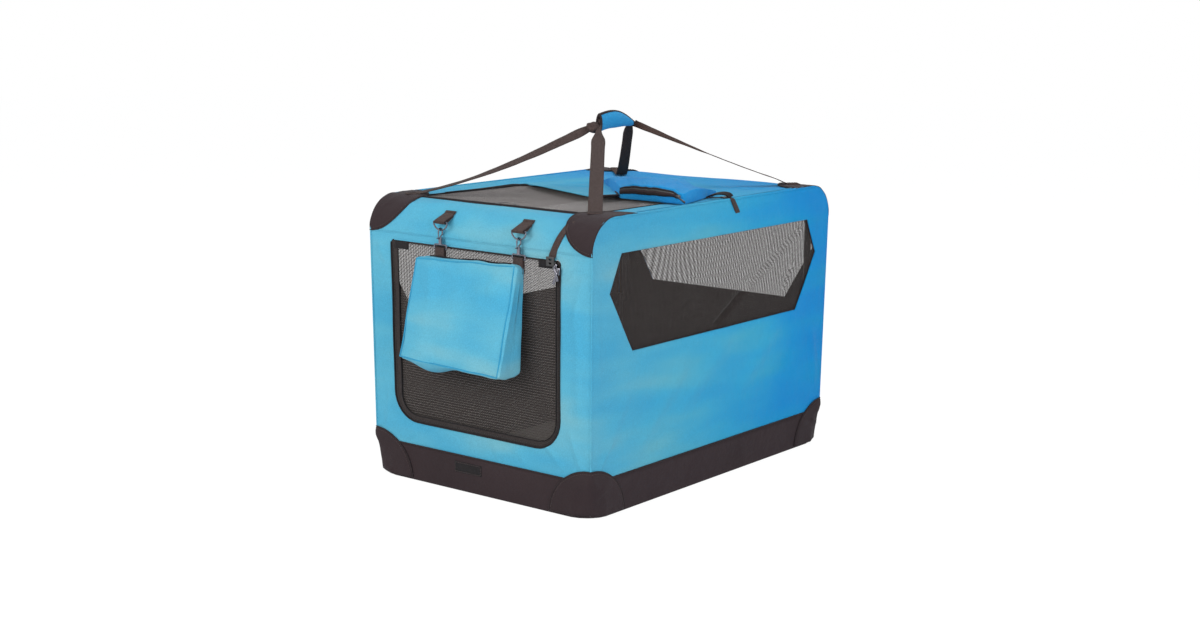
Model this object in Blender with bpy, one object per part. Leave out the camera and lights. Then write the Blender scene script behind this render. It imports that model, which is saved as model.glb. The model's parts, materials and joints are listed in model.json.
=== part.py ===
"""Soft folding dog crate: fabric cabin on a folding steel frame, with a hanging pouch.

Metres, +Z up. The origin is the centre of the underside. The door faces -Y.
"""
import math

import bmesh
import bpy
from mathutils import Matrix, Vector

# Overall size of the cabin
LENGTH = 0.914
WIDTH = 0.635
HEIGHT = 0.635
END_RADIUS = 0.075
SIDE_LEAN = 0.006
END_LEAN = 0.008
GAP = 0.0003
CUT = 0.002

# Fabric and base tray
FABRIC = 0.0025
NET = 0.0012
BAND_HEIGHT = 0.083
BAND_PROUD = 0.0012
BAND_THICKNESS = 0.004
FLOOR_THICKNESS = 0.003
TRAY_CORNER = 0.014
TRAY_EDGE = 0.004
MAT_THICKNESS = 0.017
MAT_CLEARANCE = 0.004
MAT_SIDE_SAG = 0.006
MAT_SHOULDER = 0.070
MAT_CROWN_SHARES = ((0, 0.07), (0.45, 0), (0.75, 0.07), (0.92, 0.35), (1, 1))

# Folding frame
TUBE = 0.008
SLEEVE_WALL = 0.0025
SLEEVE = TUBE + SLEEVE_WALL
SLEEVE_REACH = 0.045
SLEEVE_STOP = 0.010
POST_TO_SIDE = 0.0145
POST_TO_END = 0.017
POST_X = WIDTH / 2 - TUBE - POST_TO_SIDE
POST_Y = LENGTH / 2 - TUBE - POST_TO_END
LAP_GAP = 0.002
POST_LAP = 2 * TUBE + LAP_GAP
PIVOT_OVER_BASE = 0.0237
UPPER_PIVOT_DROP = 0.085
POST_OVERHANG = 0.0085
EAR = 0.003
EAR_RADIUS = 0.009
PIN = 0.003
PIN_HEAD = 0.006
HEAD_THICKNESS = 0.002
RAIL_BEND = 0.060
RAIL_UNDER_COVER = 0.003
CROSS_SLEEVE = 0.030

# Door and windows
DOOR_X = -0.010
DOOR_WIDTH = 0.489
DOOR_LOW = 0.135
DOOR_TOP = 0.546
DOOR_CORNER = 0.070
DOOR_TOP_CORNER = 0.010
DOOR_GAP = 0.002
DOOR_BORDER = 0.020
NET_LAP = 0.005
WINDOW_TOP = 0.558
WINDOW_MIDDLE = 0.477
WINDOW_LOW = 0.346
SIDE_WINDOW_TOP = 0.722
SIDE_WINDOW_MIDDLE = 0.806
SIDE_WINDOW_LOW = 0.644
REAR_WINDOW_TOP = 0.500
REAR_WINDOW_MIDDLE = 0.560
REAR_WINDOW_LOW = 0.410
REAR_WINDOW_HEAD = 0.545
DOOR_SLIDER_Z = 0.530
DOOR_ZIP_RISE = 0.0006
DOOR_ZIP_LOW = 0.240
DOOR_ZIP_TOP = 0.544

# Top of the cabin
HATCH_WIDTH = 0.490
HATCH_FRONT_INSET = 0.072
HATCH_FRONT = HATCH_FRONT_INSET - LENGTH / 2
HATCH_REAR = -0.045
HATCH_CORNER = 0.020
HEM_WIDTH = 0.022
HEM_THICKNESS = 0.0019
HATCH_PULLS = (-0.010, 0.040)
PATCH_RADIUS = 0.095
PATCH_THICKNESS = 0.0015
FLAP_THICKNESS = 0.0025
FLAP_OUTLINE_SHARES = (
    (-0.4, -0.025), (0.1875, -0.15), (0.25, -0.085), (-0.25, 0.225), (-0.4, 0.23)
)
FLAP_LIFT = 0.0045
FLAP_LIFT_FRONT = -0.100
FLAP_LIFT_REAR = 0.030
POCKET_HEIGHT = 0.027
POCKET_CORNER = 0.020
POCKET_SHOULDER = 0.0067
POCKET_CROWN_SHARES = ((0, 0), (0.4, 0), (0.8, 0.4), (1, 1.6))
POCKET_ZIP_SHARE = 0.2

# Carrying handle
GRIP_FRONT = -0.036
GRIP_REAR = 0.086
GRIP_FRONT_Z = 0.791
GRIP_REAR_Z = 0.785
GRIP_RISE = 0.009
GRIP_HALF_WIDTH = 0.0125
GRIP_FRONT_HALF_HEIGHT = 0.021
GRIP_REAR_HALF_HEIGHT = 0.0065
WEBBING = 0.030
WEBBING_THICKNESS = 0.0018
FOOT_TO_SIDE = 0.0555
FOOT_TO_END = 0.085
FOOT_X = WIDTH / 2 - FOOT_TO_SIDE
FOOT_Y = LENGTH / 2 - FOOT_TO_END
STRAP_END_X = 0.0065
STRAP_HEAD_DROP = 0.0055

# Pouch hardware
HOOK_X = (-0.095, 0.128)
RING_WIRE = 0.0018
RING_WIDTH = 0.040
RING_DEPTH = 0.0175
RING_Z = 0.597
HANG_OUT = 0.009
HANG_Y = LENGTH / 2 + HANG_OUT
TAB_WIDTH = 0.030
TAB_Z = 0.617
TAB_THICKNESS = 0.0024
TAB_LIFT = 0.00006
BARREL_RADIUS = 0.0045
BARREL_LENGTH = 0.016
HOOK_WIRE = 0.0018
HOOK_DROP = 0.0135
HOOK_TIP_SHARE = 0.75
GATE_WIRE = 0.0013
GATE_THUMB = 0.0026
GATE_LENGTH = 0.0125
EYE_HALF_WIDTH = 0.0175
EYE_DEPTH = 0.0095
EYE_CORNER = 0.003
LOOP_WIDTH = 0.026
LOOP_REACH = 0.009
LOOP_BEND = 0.0031
LOOP_THICKNESS = 0.0014

# Hanging pouch
POUCH_X = -0.0055
POUCH_WIDTH = 0.295
POUCH_TOP = 0.519
POUCH_LOW = 0.288
POUCH_TOP_DEPTH = 0.033
POUCH_LOW_DEPTH = 0.073
POUCH_CORNER = 0.016
POUCH_LEAN = 0.006

# Straps that tie a rolled panel, and zip sliders
TIE_WIDTH = 0.015
TIE_THICKNESS = 0.0015
DOOR_TIE_TO_SIDE = 0.1145
DOOR_TIE_X = WIDTH / 2 - DOOR_TIE_TO_SIDE
DOOR_TIE_TOP = 0.050
DOOR_TIE_TAIL = 0.012
DOOR_TIE_SLANT = 0.0065
SIDE_TIE_Y = 0.022
SIDE_TIE_SLANT = 0.045
SIDE_TIE_REACH = 0.050
SIDE_TIE_DROP = 0.045
SLIDER_WIDTH = 0.009
SLIDER_LENGTH = 0.012
SLIDER_HEIGHT = 0.0022
PULL_LENGTH = 0.026
PULL_WIDTH = 0.006

ROUND_SIDES = 12
WIRE_SIDES = 8
ARC_STEPS = 8

SHOULDER = HEIGHT - END_RADIUS
END_CENTRE = LENGTH / 2 - END_RADIUS
ARC_RUN = END_RADIUS * math.pi / 2
TOP_RUN = 2 * ARC_RUN + 2 * END_CENTRE
BASE_TUBE_Z = FLOOR_THICKNESS + GAP + SLEEVE
LOW_PIVOT_Z = BASE_TUBE_Z + PIVOT_OVER_BASE
HIGH_PIVOT_Z = HEIGHT - UPPER_PIVOT_DROP
ELBOW_Z = (LOW_PIVOT_Z + HIGH_PIVOT_Z) / 2
RAIL_Z = HEIGHT - FABRIC - RAIL_UNDER_COVER - TUBE
UPPER_POST_X = POST_X - POST_LAP
CROSS_Y = POST_Y - RAIL_BEND - CROSS_SLEEVE / 2 - CUT

FINISHES = {
    "blue_fabric": ((0.045, 0.30, 0.62), 0.75, 0.0),
    "dark_fabric": ((0.035, 0.027, 0.028), 0.85, 0.0),
    "black_net": ((0.03, 0.027, 0.026), 0.9, 0.0),
    "webbing": ((0.06, 0.048, 0.043), 0.8, 0.0),
    "fleece": ((0.55, 0.53, 0.48), 0.95, 0.0),
    "painted_steel": ((0.02, 0.02, 0.022), 0.45, 0.6),
    "plated_steel": ((0.55, 0.55, 0.57), 0.25, 1.0),
    "black_plastic": ((0.015, 0.015, 0.016), 0.5, 0.0),
}


def clear_scene():
    for item in list(bpy.data.objects):
        bpy.data.objects.remove(item, do_unlink=True)


def finish(name):
    """One Principled material for each finish."""
    found = bpy.data.materials.get(name)
    if found:
        return found
    colour, roughness, metallic = FINISHES[name]
    made = bpy.data.materials.new(name)
    made.use_nodes = True
    shader = made.node_tree.nodes["Principled BSDF"]
    shader.inputs["Base Color"].default_value = (*colour, 1.0)
    shader.inputs["Roughness"].default_value = roughness
    shader.inputs["Metallic"].default_value = metallic
    return made


def add_object(name, bm, finish_name, smooth=True):
    """Turn a bmesh into a named object with its faces pointing out."""
    bmesh.ops.remove_doubles(bm, verts=bm.verts, dist=GAP / 100)
    bmesh.ops.recalc_face_normals(bm, faces=bm.faces)
    mesh = bpy.data.meshes.new(name)
    bm.to_mesh(mesh)
    bm.free()
    if smooth:
        mesh.shade_smooth()
        mesh.set_sharp_from_angle(angle=math.radians(35))
    made = bpy.data.objects.new(name, mesh)
    made.data.materials.append(finish(finish_name))
    bpy.context.scene.collection.objects.link(made)
    return made


def combine(target, tool, operation):
    """Join a tool object to a target, or cut it away."""
    tool.hide_render = True
    tool.display_type = "WIRE"
    step = target.modifiers.new(operation.title(), "BOOLEAN")
    step.operation = operation
    step.solver = "EXACT"
    step.object = tool


def side_at(z):
    """Half width of the cabin's outer face at a height."""
    return WIDTH / 2 - SIDE_LEAN * max(0.0, 1 - z / SHOULDER)


def end_at(z):
    """Half length of the cabin's outer face at a height."""
    return LENGTH / 2 - END_LEAN * max(0.0, 1 - z / SHOULDER)


def on_end(facing):
    """Place (x, z, depth) on the front wall (-1) or the rear wall (+1)."""
    return lambda u, v, depth: Vector((u, facing * (end_at(v) - depth), v))


def on_side(facing):
    """Place (y, z, depth) on the left wall (-1) or the right wall (+1)."""
    return lambda u, v, depth: Vector((facing * (side_at(v) - depth), u, v))


def on_top(u, v, depth):
    """Place (x, run, depth) on the cover that wraps both rounded ends."""
    if v < 0:
        return Vector((u, -(END_CENTRE + END_RADIUS - depth), SHOULDER + v))
    if v < ARC_RUN:
        turn = v / END_RADIUS
        reach = END_RADIUS - depth
        y = -END_CENTRE - reach * math.cos(turn)
        return Vector((u, y, SHOULDER + reach * math.sin(turn)))
    if v <= TOP_RUN - ARC_RUN:
        return Vector((u, v - ARC_RUN - END_CENTRE, HEIGHT - depth))
    turn = (TOP_RUN - v) / END_RADIUS
    reach = END_RADIUS - depth
    y = END_CENTRE + reach * math.cos(turn)
    return Vector((u, y, SHOULDER + reach * math.sin(turn)))


def arc(centre, radius, start, end, steps=ARC_STEPS):
    """Points of a flat arc, angles in degrees."""
    points = []
    for i in range(steps + 1):
        angle = math.radians(start + (end - start) * i / steps)
        points.append((centre[0] + radius * math.cos(angle), centre[1] + radius * math.sin(angle)))
    return points


def rounded(points, radii, steps=4):
    """Round each corner of an outline by its own radius."""
    made = []
    count = len(points)
    for i, radius in enumerate(radii):
        here = Vector(points[i])
        back = (Vector(points[i - 1]) - here).normalized()
        ahead = (Vector(points[(i + 1) % count]) - here).normalized()
        if radius == 0:
            made.append(here[:])
            continue
        half = back.angle(ahead) / 2
        centre = here + (back + ahead).normalized() * radius / math.sin(half)
        first = here + back * radius / math.tan(half)
        last = here + ahead * radius / math.tan(half)
        for k in range(steps + 1):
            spoke = (first - centre).normalized().slerp((last - centre).normalized(), k / steps)
            made.append((centre + spoke * radius)[:])
    return made


def offset(points, amount):
    """Move an outline that runs anticlockwise inwards by an amount."""
    made = []
    count = len(points)
    for i in range(count):
        here = Vector(points[i])
        a = (here - Vector(points[i - 1])).normalized()
        b = (Vector(points[(i + 1) % count]) - here).normalized()
        inward_a, inward_b = Vector((-a.y, a.x)), Vector((-b.y, b.x))
        middle = (inward_a + inward_b).normalized()
        made.append((here + middle * amount / middle.dot(inward_a))[:])
    return made


def panel(name, outlines, place, depths, finish_name, cuts=(), smooth=True):
    """A sheet: outer outline and any holes, filled flat, bent by place, given thickness."""
    bm = bmesh.new()
    for outline in outlines:
        ring = [bm.verts.new((p[0], p[1], 0)) for p in outline]
        for i, vert in enumerate(ring):
            bm.edges.new((ring[i - 1], vert))
    bmesh.ops.triangle_fill(bm, use_beauty=True, edges=bm.edges)
    for axis, at in cuts:
        normal = (1, 0, 0) if axis == "u" else (0, 1, 0)
        point = (at, 0, 0) if axis == "u" else (0, at, 0)
        bmesh.ops.bisect_plane(
            bm, geom=bm.verts[:] + bm.edges[:] + bm.faces[:], plane_co=point, plane_no=normal
        )
    raised = bmesh.ops.extrude_face_region(bm, geom=bm.faces[:])
    for item in raised["geom"]:
        if isinstance(item, bmesh.types.BMVert):
            item.co.z = 1
    for vert in bm.verts:
        depth = depths[1] if vert.co.z > 0 else depths[0]
        vert.co = place(vert.co.x, vert.co.y, depth)
    return add_object(name, bm, finish_name, smooth)


def loft(name, rings, finish_name, smooth=True):
    """Skin a stack of rings that have the same count of points, capped at both ends."""
    bm = bmesh.new()
    loops = [[bm.verts.new(p) for p in ring] for ring in rings]
    for low, high in zip(loops, loops[1:]):
        for i in range(len(low)):
            bm.faces.new((low[i - 1], low[i], high[i], high[i - 1]))
    bm.faces.new(loops[0])
    bm.faces.new(loops[-1])
    return add_object(name, bm, finish_name, smooth)


def sweep(name, path, radii, finish_name, normal, closed=False, sides=ROUND_SIDES):
    """A round or oval bar along a flat path; normal is square to the path's plane."""
    bm = bmesh.new()
    path = [Vector(p) for p in path]
    normal = Vector(normal)
    across, along = radii
    loops = []
    for i, point in enumerate(path):
        before = path[i - 1] if (i > 0 or closed) else point
        after = path[(i + 1) % len(path)] if (i < len(path) - 1 or closed) else point
        inward = (after - before).normalized().cross(normal)
        loop = []
        for k in range(sides):
            angle = 2 * math.pi * (k + 0.5) / sides
            spoke = normal * across * math.cos(angle) + inward * along * math.sin(angle)
            loop.append(bm.verts.new(point + spoke))
        loops.append(loop)
    pairs = list(zip(loops, loops[1:]))
    if closed:
        pairs.append((loops[-1], loops[0]))
    for low, high in pairs:
        for k in range(sides):
            bm.faces.new((low[k - 1], low[k], high[k], high[k - 1]))
    if not closed:
        bm.faces.new(loops[0])
        bm.faces.new(loops[-1])
    return add_object(name, bm, finish_name)


def rod(name, start, end, radius, finish_name, sides=ROUND_SIDES):
    """A straight round bar between two points."""
    start, end = Vector(start), Vector(end)
    run = end - start
    side = run.orthogonal().normalized()
    return sweep(name, (start, end), (radius, radius), finish_name, side, sides=sides)


def block(name, low, high, finish_name, bevel=0.0):
    """A box between two corners, with its edges eased."""
    bm = bmesh.new()
    low, high = Vector(low), Vector(high)
    size = high - low
    centre = Matrix.Translation((low + high) / 2) @ Matrix.Diagonal((*size, 1))
    bmesh.ops.create_cube(bm, size=1, matrix=centre)
    if bevel:
        bmesh.ops.bevel(
            bm, geom=bm.edges[:], offset=bevel, segments=2, profile=0.5, affect="EDGES", material=-1
        )
    return add_object(name, bm, finish_name)


def rounded_box_ring(half_x, half_y, radius, z):
    """A level rounded rectangle."""
    corners = [(-half_x, -half_y), (half_x, -half_y), (half_x, half_y), (-half_x, half_y)]
    return [(x, y, z) for x, y in rounded(corners, [radius] * 4)]


def base_tray():
    """Fabric tray: floor and upright band, with rounded corners."""
    def ring(z, inset, radius):
        proud = BAND_PROUD - inset
        return rounded_box_ring(side_at(z) + proud, end_at(z) + proud, radius, z)

    inner = TRAY_CORNER - BAND_THICKNESS
    rings = [
        ring(0, TRAY_EDGE, TRAY_CORNER - TRAY_EDGE),
        ring(TRAY_EDGE, 0, TRAY_CORNER),
        ring(BAND_HEIGHT, 0, TRAY_CORNER),
        ring(BAND_HEIGHT, BAND_THICKNESS, inner),
        ring(FLOOR_THICKNESS, BAND_THICKNESS, inner),
    ]
    loft("base_tray", rings, "dark_fabric")


def floor_mat():
    """Padded mat between the base tubes: crowned, with drawn-in sides."""
    half_x = POST_X - SLEEVE - MAT_CLEARANCE
    half_y = POST_Y - SLEEVE - MAT_CLEARANCE
    low = FLOOR_THICKNESS + GAP
    corners = [(-half_x, -half_y), (half_x, -half_y), (half_x, half_y), (-half_x, half_y)]
    outline = []
    for i, corner in enumerate(corners):
        start, end = Vector(corner), Vector(corners[(i + 1) % len(corners)])
        inward = Vector((start.y - end.y, end.x - start.x)).normalized()
        for step in range(1, ARC_STEPS):
            share = step / ARC_STEPS
            drawn_in = MAT_SIDE_SAG * math.sin(math.pi * share)
            outline.append(start.lerp(end, share) + inward * drawn_in)
    rings = []
    for level_share, inset_share in MAT_CROWN_SHARES:
        z = low + MAT_THICKNESS * level_share
        ring = offset(outline, MAT_SHOULDER * inset_share)
        rings.append([(x, y, z) for x, y in ring])
    loft("floor_mat", rings, "fleece")


def base_frame():
    """Four floor tubes, joined at the corners by sleeves with upright ears."""
    reach_y = POST_Y - SLEEVE_STOP - GAP
    reach_x = POST_X - SLEEVE_STOP - GAP
    for side, tag in ((-1, "left"), (1, "right")):
        x = side * POST_X
        ends = ((x, -reach_y, BASE_TUBE_Z), (x, reach_y, BASE_TUBE_Z))
        rod("base_tube_" + tag, *ends, TUBE, "painted_steel")
    for end, tag in ((-1, "front"), (1, "rear")):
        y = end * POST_Y
        ends = ((-reach_x, y, BASE_TUBE_Z), (reach_x, y, BASE_TUBE_Z))
        rod("base_tube_" + tag, *ends, TUBE, "painted_steel")
    for end, end_tag in ((-1, "front"), (1, "rear")):
        for side, side_tag in ((-1, "left"), (1, "right")):
            corner_joint("corner_joint_" + end_tag + "_" + side_tag, side, end)


def corner_joint(name, side, end):
    """A corner sleeve for two tubes, with two ears and their fixed pin."""
    x, y = side * POST_X, end * POST_Y
    inner_y = end * (POST_Y - SLEEVE_REACH)
    inner_x = side * (POST_X - SLEEVE_REACH)
    body_ends = ((x, y + end * SLEEVE / 2, BASE_TUBE_Z), (x, inner_y, BASE_TUBE_Z))
    body = rod(name, *body_ends, SLEEVE, "black_plastic")
    arm_ends = ((x + side * TUBE, y, BASE_TUBE_Z), (inner_x, y, BASE_TUBE_Z))
    arm = rod(name + "_arm", *arm_ends, SLEEVE - GAP, "black_plastic")
    combine(body, arm, "UNION")
    for offset_x in (-1, 1):
        near = x + offset_x * (TUBE + GAP)
        far = near + offset_x * EAR
        ear = panel(
            name + "_ear" + str(offset_x), [ear_outline(y)], lambda u, v, d: Vector((d, u, v)),
            (near, far), "black_plastic"
        )
        combine(body, ear, "UNION")
    reach = TUBE + GAP + EAR / 2
    pin = rod(
        name + "_pin", (x - reach, y, LOW_PIVOT_Z), (x + reach, y, LOW_PIVOT_Z), PIN, "plated_steel"
    )
    combine(body, pin, "UNION")
    bore = TUBE + GAP
    stop_y = end * (POST_Y - SLEEVE_STOP)
    stop_x = side * (POST_X - SLEEVE_STOP)
    past_y = inner_y - end * CUT
    past_x = inner_x - side * CUT
    first_ends = ((x, stop_y, BASE_TUBE_Z), (x, past_y, BASE_TUBE_Z))
    second_ends = ((stop_x, y, BASE_TUBE_Z), (past_x, y, BASE_TUBE_Z))
    for axis, bore_ends in (("_y", first_ends), ("_x", second_ends)):
        combine(body, rod(name + "_bore" + axis, *bore_ends, bore, "black_plastic"), "DIFFERENCE")


def ear_outline(y):
    """An upright tongue with a round top."""
    foot = [(y - EAR_RADIUS, BASE_TUBE_Z), (y + EAR_RADIUS, BASE_TUBE_Z)]
    return foot + arc((y, LOW_PIVOT_Z), EAR_RADIUS, 0, 180)


def lap_pin(body, name, x, y, z, side):
    """Rivet that stands inwards from a bar, through the bar lapped against it."""
    inner = x - side * POST_LAP
    spacer_end = x - side * (POST_LAP - TUBE - GAP)
    head_start = inner - side * (TUBE + GAP)
    head_end = head_start - side * HEAD_THICKNESS
    pin = rod(name + "_pin", (x, y, z), (head_end, y, z), PIN, "plated_steel")
    spacer = rod(name + "_spacer", (x, y, z), (spacer_end, y, z), PIN_HEAD, "plated_steel")
    head = rod(name + "_head", (head_start, y, z), (head_end, y, z), PIN_HEAD, "plated_steel")
    for piece in (spacer, pin, head):
        combine(body, piece, "UNION")


def pin_hole(body, name, x, y, z):
    """Running hole for a pin, across a bar."""
    reach = TUBE + CUT
    hole = rod(name, (x - reach, y, z), (x + reach, y, z), PIN + GAP, "painted_steel")
    combine(body, hole, "DIFFERENCE")


def folding_posts():
    """Each corner post is two halves, hinged at the elbow."""
    for end, end_tag in ((-1, "front"), (1, "rear")):
        y = end * POST_Y
        for side, side_tag in ((-1, "left"), (1, "right")):
            tag = end_tag + "_" + side_tag
            x = side * POST_X
            low = (x, y, LOW_PIVOT_Z - POST_OVERHANG)
            high = (x, y, ELBOW_Z + POST_OVERHANG)
            lower = rod("lower_post_" + tag, low, high, TUBE, "painted_steel")
            lap_pin(lower, "lower_post_" + tag, x, y, ELBOW_Z, side)
            pin_hole(lower, "lower_post_" + tag + "_hole", x, y, LOW_PIVOT_Z)
            x = side * UPPER_POST_X
            low = (x, y, ELBOW_Z - POST_OVERHANG)
            high = (x, y, HIGH_PIVOT_Z + POST_OVERHANG)
            upper = rod("upper_post_" + tag, low, high, TUBE, "painted_steel")
            pin_hole(upper, "upper_post_" + tag + "_hole_low", x, y, ELBOW_Z)
            pin_hole(upper, "upper_post_" + tag + "_hole_high", x, y, HIGH_PIVOT_Z)


def rail_path():
    """One top rail in (y, z): down at both ends, bent over the rounded corners."""
    bend_y, bend_z = POST_Y - RAIL_BEND, RAIL_Z - RAIL_BEND
    foot = HIGH_PIVOT_Z - POST_OVERHANG
    front = [(-POST_Y, foot)] + arc((-bend_y, bend_z), RAIL_BEND, 180, 90)
    rear = arc((bend_y, bend_z), RAIL_BEND, 90, 0) + [(POST_Y, foot)]
    return front + rear


def top_frame():
    """Two bent rails and two cross tubes that clasp them."""
    for side, tag in ((-1, "left"), (1, "right")):
        x = side * POST_X
        path = [(x, y, z) for y, z in rail_path()]
        rail = sweep("top_rail_" + tag, path, (TUBE, TUBE), "painted_steel", (1, 0, 0))
        for end, end_tag in ((-1, "front"), (1, "rear")):
            lap_pin(rail, "top_rail_" + tag + "_" + end_tag, x, end * POST_Y, HIGH_PIVOT_Z, side)
    for end, tag in ((-1, "front"), (1, "rear")):
        y = end * CROSS_Y
        bar = rod("top_cross_" + tag, (-POST_X, y, RAIL_Z), (POST_X, y, RAIL_Z), TUBE, "painted_steel")
        for side in (-1, 1):
            x = side * POST_X
            half = CROSS_SLEEVE / 2
            collar_name = "top_cross_" + tag + "_collar" + str(side)
            collar_ends = ((x, y - half, RAIL_Z), (x, y + half, RAIL_Z))
            collar = rod(collar_name, *collar_ends, SLEEVE, "black_plastic")
            combine(bar, collar, "UNION")
            half += CUT
            bore_ends = ((x, y - half, RAIL_Z), (x, y + half, RAIL_Z))
            bore = rod(collar_name + "_bore", *bore_ends, TUBE + GAP, "black_plastic")
            combine(bar, bore, "DIFFERENCE")


def door_outline(inset=0.0, top_inset=None):
    """The doorway, or the same shape drawn in; the hinged top edge can sit closer."""
    top_inset = inset if top_inset is None else top_inset
    half = DOOR_WIDTH / 2 - inset
    low, high = DOOR_LOW + inset, DOOR_TOP - top_inset
    corners = [(DOOR_X - half, low), (DOOR_X + half, low), (DOOR_X + half, high), (DOOR_X - half, high)]
    low_radius = DOOR_CORNER - inset
    high_radius = max(DOOR_TOP_CORNER - inset, DOOR_TOP_CORNER / 2)
    return rounded(corners, [low_radius, low_radius, high_radius, high_radius], ARC_STEPS)


def window_outline(top_width, middle_width, low_width, top_z):
    """A six-sided window, widest part way down."""
    return [
        (-low_width / 2, WINDOW_LOW), (low_width / 2, WINDOW_LOW),
        (middle_width / 2, WINDOW_MIDDLE), (top_width / 2, top_z),
        (-top_width / 2, top_z), (-middle_width / 2, WINDOW_MIDDLE),
    ]


def side_window():
    return window_outline(SIDE_WINDOW_TOP, SIDE_WINDOW_MIDDLE, SIDE_WINDOW_LOW, WINDOW_TOP)


def rear_window():
    return window_outline(REAR_WINDOW_TOP, REAR_WINDOW_MIDDLE, REAR_WINDOW_LOW, REAR_WINDOW_HEAD)


def end_wall_outline():
    """Front or rear wall, between the side walls, up to the rounded corner."""
    low, high = BAND_HEIGHT + GAP, SHOULDER - GAP
    inset = FABRIC + GAP
    return [
        (-side_at(low) + inset, low), (side_at(low) - inset, low),
        (side_at(high) - inset, high), (-side_at(high) + inset, high),
    ]


def side_wall_outline():
    """Side wall, with both top corners rounded."""
    low = BAND_HEIGHT + GAP
    centre = END_CENTRE
    foot = [(-end_at(low), low), (end_at(low), low)]
    rear = arc((centre, SHOULDER), END_RADIUS, 0, 90)
    front = arc((-centre, SHOULDER), END_RADIUS, 90, 180)
    return foot + rear + front


def walls_and_windows():
    """Four fabric walls; net windows are sewn to the inner face."""
    sheet = (0, FABRIC)
    net = (FABRIC + GAP, FABRIC + GAP + NET)
    panel("wall_front", [end_wall_outline(), door_outline()], on_end(-1), sheet, "blue_fabric")
    panel("wall_rear", [end_wall_outline(), rear_window()], on_end(1), sheet, "blue_fabric")
    panel("window_rear", [offset(rear_window(), -NET_LAP)], on_end(1), net, "black_net")
    for side, tag in ((-1, "left"), (1, "right")):
        level = [("v", SHOULDER)]
        outlines = [side_wall_outline(), side_window()]
        panel("wall_" + tag, outlines, on_side(side), sheet, "blue_fabric", level)
        outline = offset(side_window(), -NET_LAP)
        panel("window_" + tag, [outline], on_side(side), net, "black_net")


def front_door():
    """Net door in a fabric border, and its zip slider with a pull."""
    outer = door_outline(DOOR_GAP, GAP)
    inner = door_outline(DOOR_GAP + DOOR_BORDER)
    border = panel("door_border", [outer, inner], on_end(-1), (0, FABRIC), "dark_fabric")
    net = (FABRIC + GAP, FABRIC + GAP + NET)
    outline = door_outline(DOOR_GAP + DOOR_BORDER - NET_LAP)
    panel("door_net", [outline], on_end(-1), net, "black_net")
    x = DOOR_X + DOOR_WIDTH / 2 - DOOR_GAP - DOOR_BORDER / 2
    half = SLIDER_WIDTH / 2
    run = [
        (x - half, DOOR_ZIP_LOW), (x + half, DOOR_ZIP_LOW),
        (x + half, DOOR_ZIP_TOP), (x - half, DOOR_ZIP_TOP),
    ]
    depths = (-DOOR_ZIP_RISE, FABRIC / 2)
    combine(border, panel("door_zip_run", [run], on_end(-1), depths, "dark_fabric"), "UNION")
    y = -end_at(DOOR_SLIDER_Z) - DOOR_ZIP_RISE - GAP
    low = DOOR_SLIDER_Z - SLIDER_LENGTH / 2
    top = DOOR_SLIDER_Z + SLIDER_LENGTH / 2
    slider = block(
        "door_zip_slider", (x - half, y - SLIDER_HEIGHT, low), (x + half, y, top),
        "plated_steel", SLIDER_HEIGHT / 5
    )
    half = PULL_WIDTH / 2
    y = y - SLIDER_HEIGHT / 2
    pull = block(
        "door_zip_pull", (x - half, y - SLIDER_HEIGHT, top - PULL_LENGTH), (x + half, y, top - half),
        "black_plastic", SLIDER_HEIGHT / 5
    )
    combine(slider, pull, "UNION")


def run_at(y):
    """Run along the cover for a place on its flat top."""
    return y + END_CENTRE + ARC_RUN


def bend_cuts(start=0.0, end=TOP_RUN):
    """Levels at which a sheet is creased so that it can follow both rounded ends."""
    cuts = []
    for i in range(ARC_STEPS + 1):
        for level in (ARC_RUN * i / ARC_STEPS, TOP_RUN - ARC_RUN * i / ARC_STEPS):
            if start < level < end:
                cuts.append(("v", level))
    return cuts


def hatch_outline(widen=0.0):
    half = HATCH_WIDTH / 2 + widen
    low, high = run_at(HATCH_FRONT) - widen, run_at(HATCH_REAR) + widen
    corners = [(-half, low), (half, low), (half, high), (-half, high)]
    return rounded(corners, [HATCH_CORNER] * 4)


def top_cover():
    """Cover that wraps both ends, with the hatch cut out, and its sewn corner patches."""
    half = side_at(SHOULDER) - FABRIC - GAP
    outline = [(-half, GAP), (half, GAP), (half, TOP_RUN - GAP), (-half, TOP_RUN - GAP)]
    panel("top_cover", [outline, hatch_outline()], on_top, (0, FABRIC), "blue_fabric", bend_cuts())
    for end, end_tag in ((-1, "front"), (1, "rear")):
        centre = PATCH_RADIUS + GAP if end < 0 else TOP_RUN - PATCH_RADIUS - GAP
        for side, side_tag in ((-1, "left"), (1, "right")):
            turn = 0 if side < 0 else 180
            disc = arc((side * half, centre), PATCH_RADIUS, turn - 90, turn + 90)
            cuts = bend_cuts(centre - PATCH_RADIUS, centre + PATCH_RADIUS)
            panel(
                "top_patch_" + end_tag + "_" + side_tag, [disc], on_top,
                (-GAP - PATCH_THICKNESS, -GAP), "dark_fabric", cuts
            )


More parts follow.
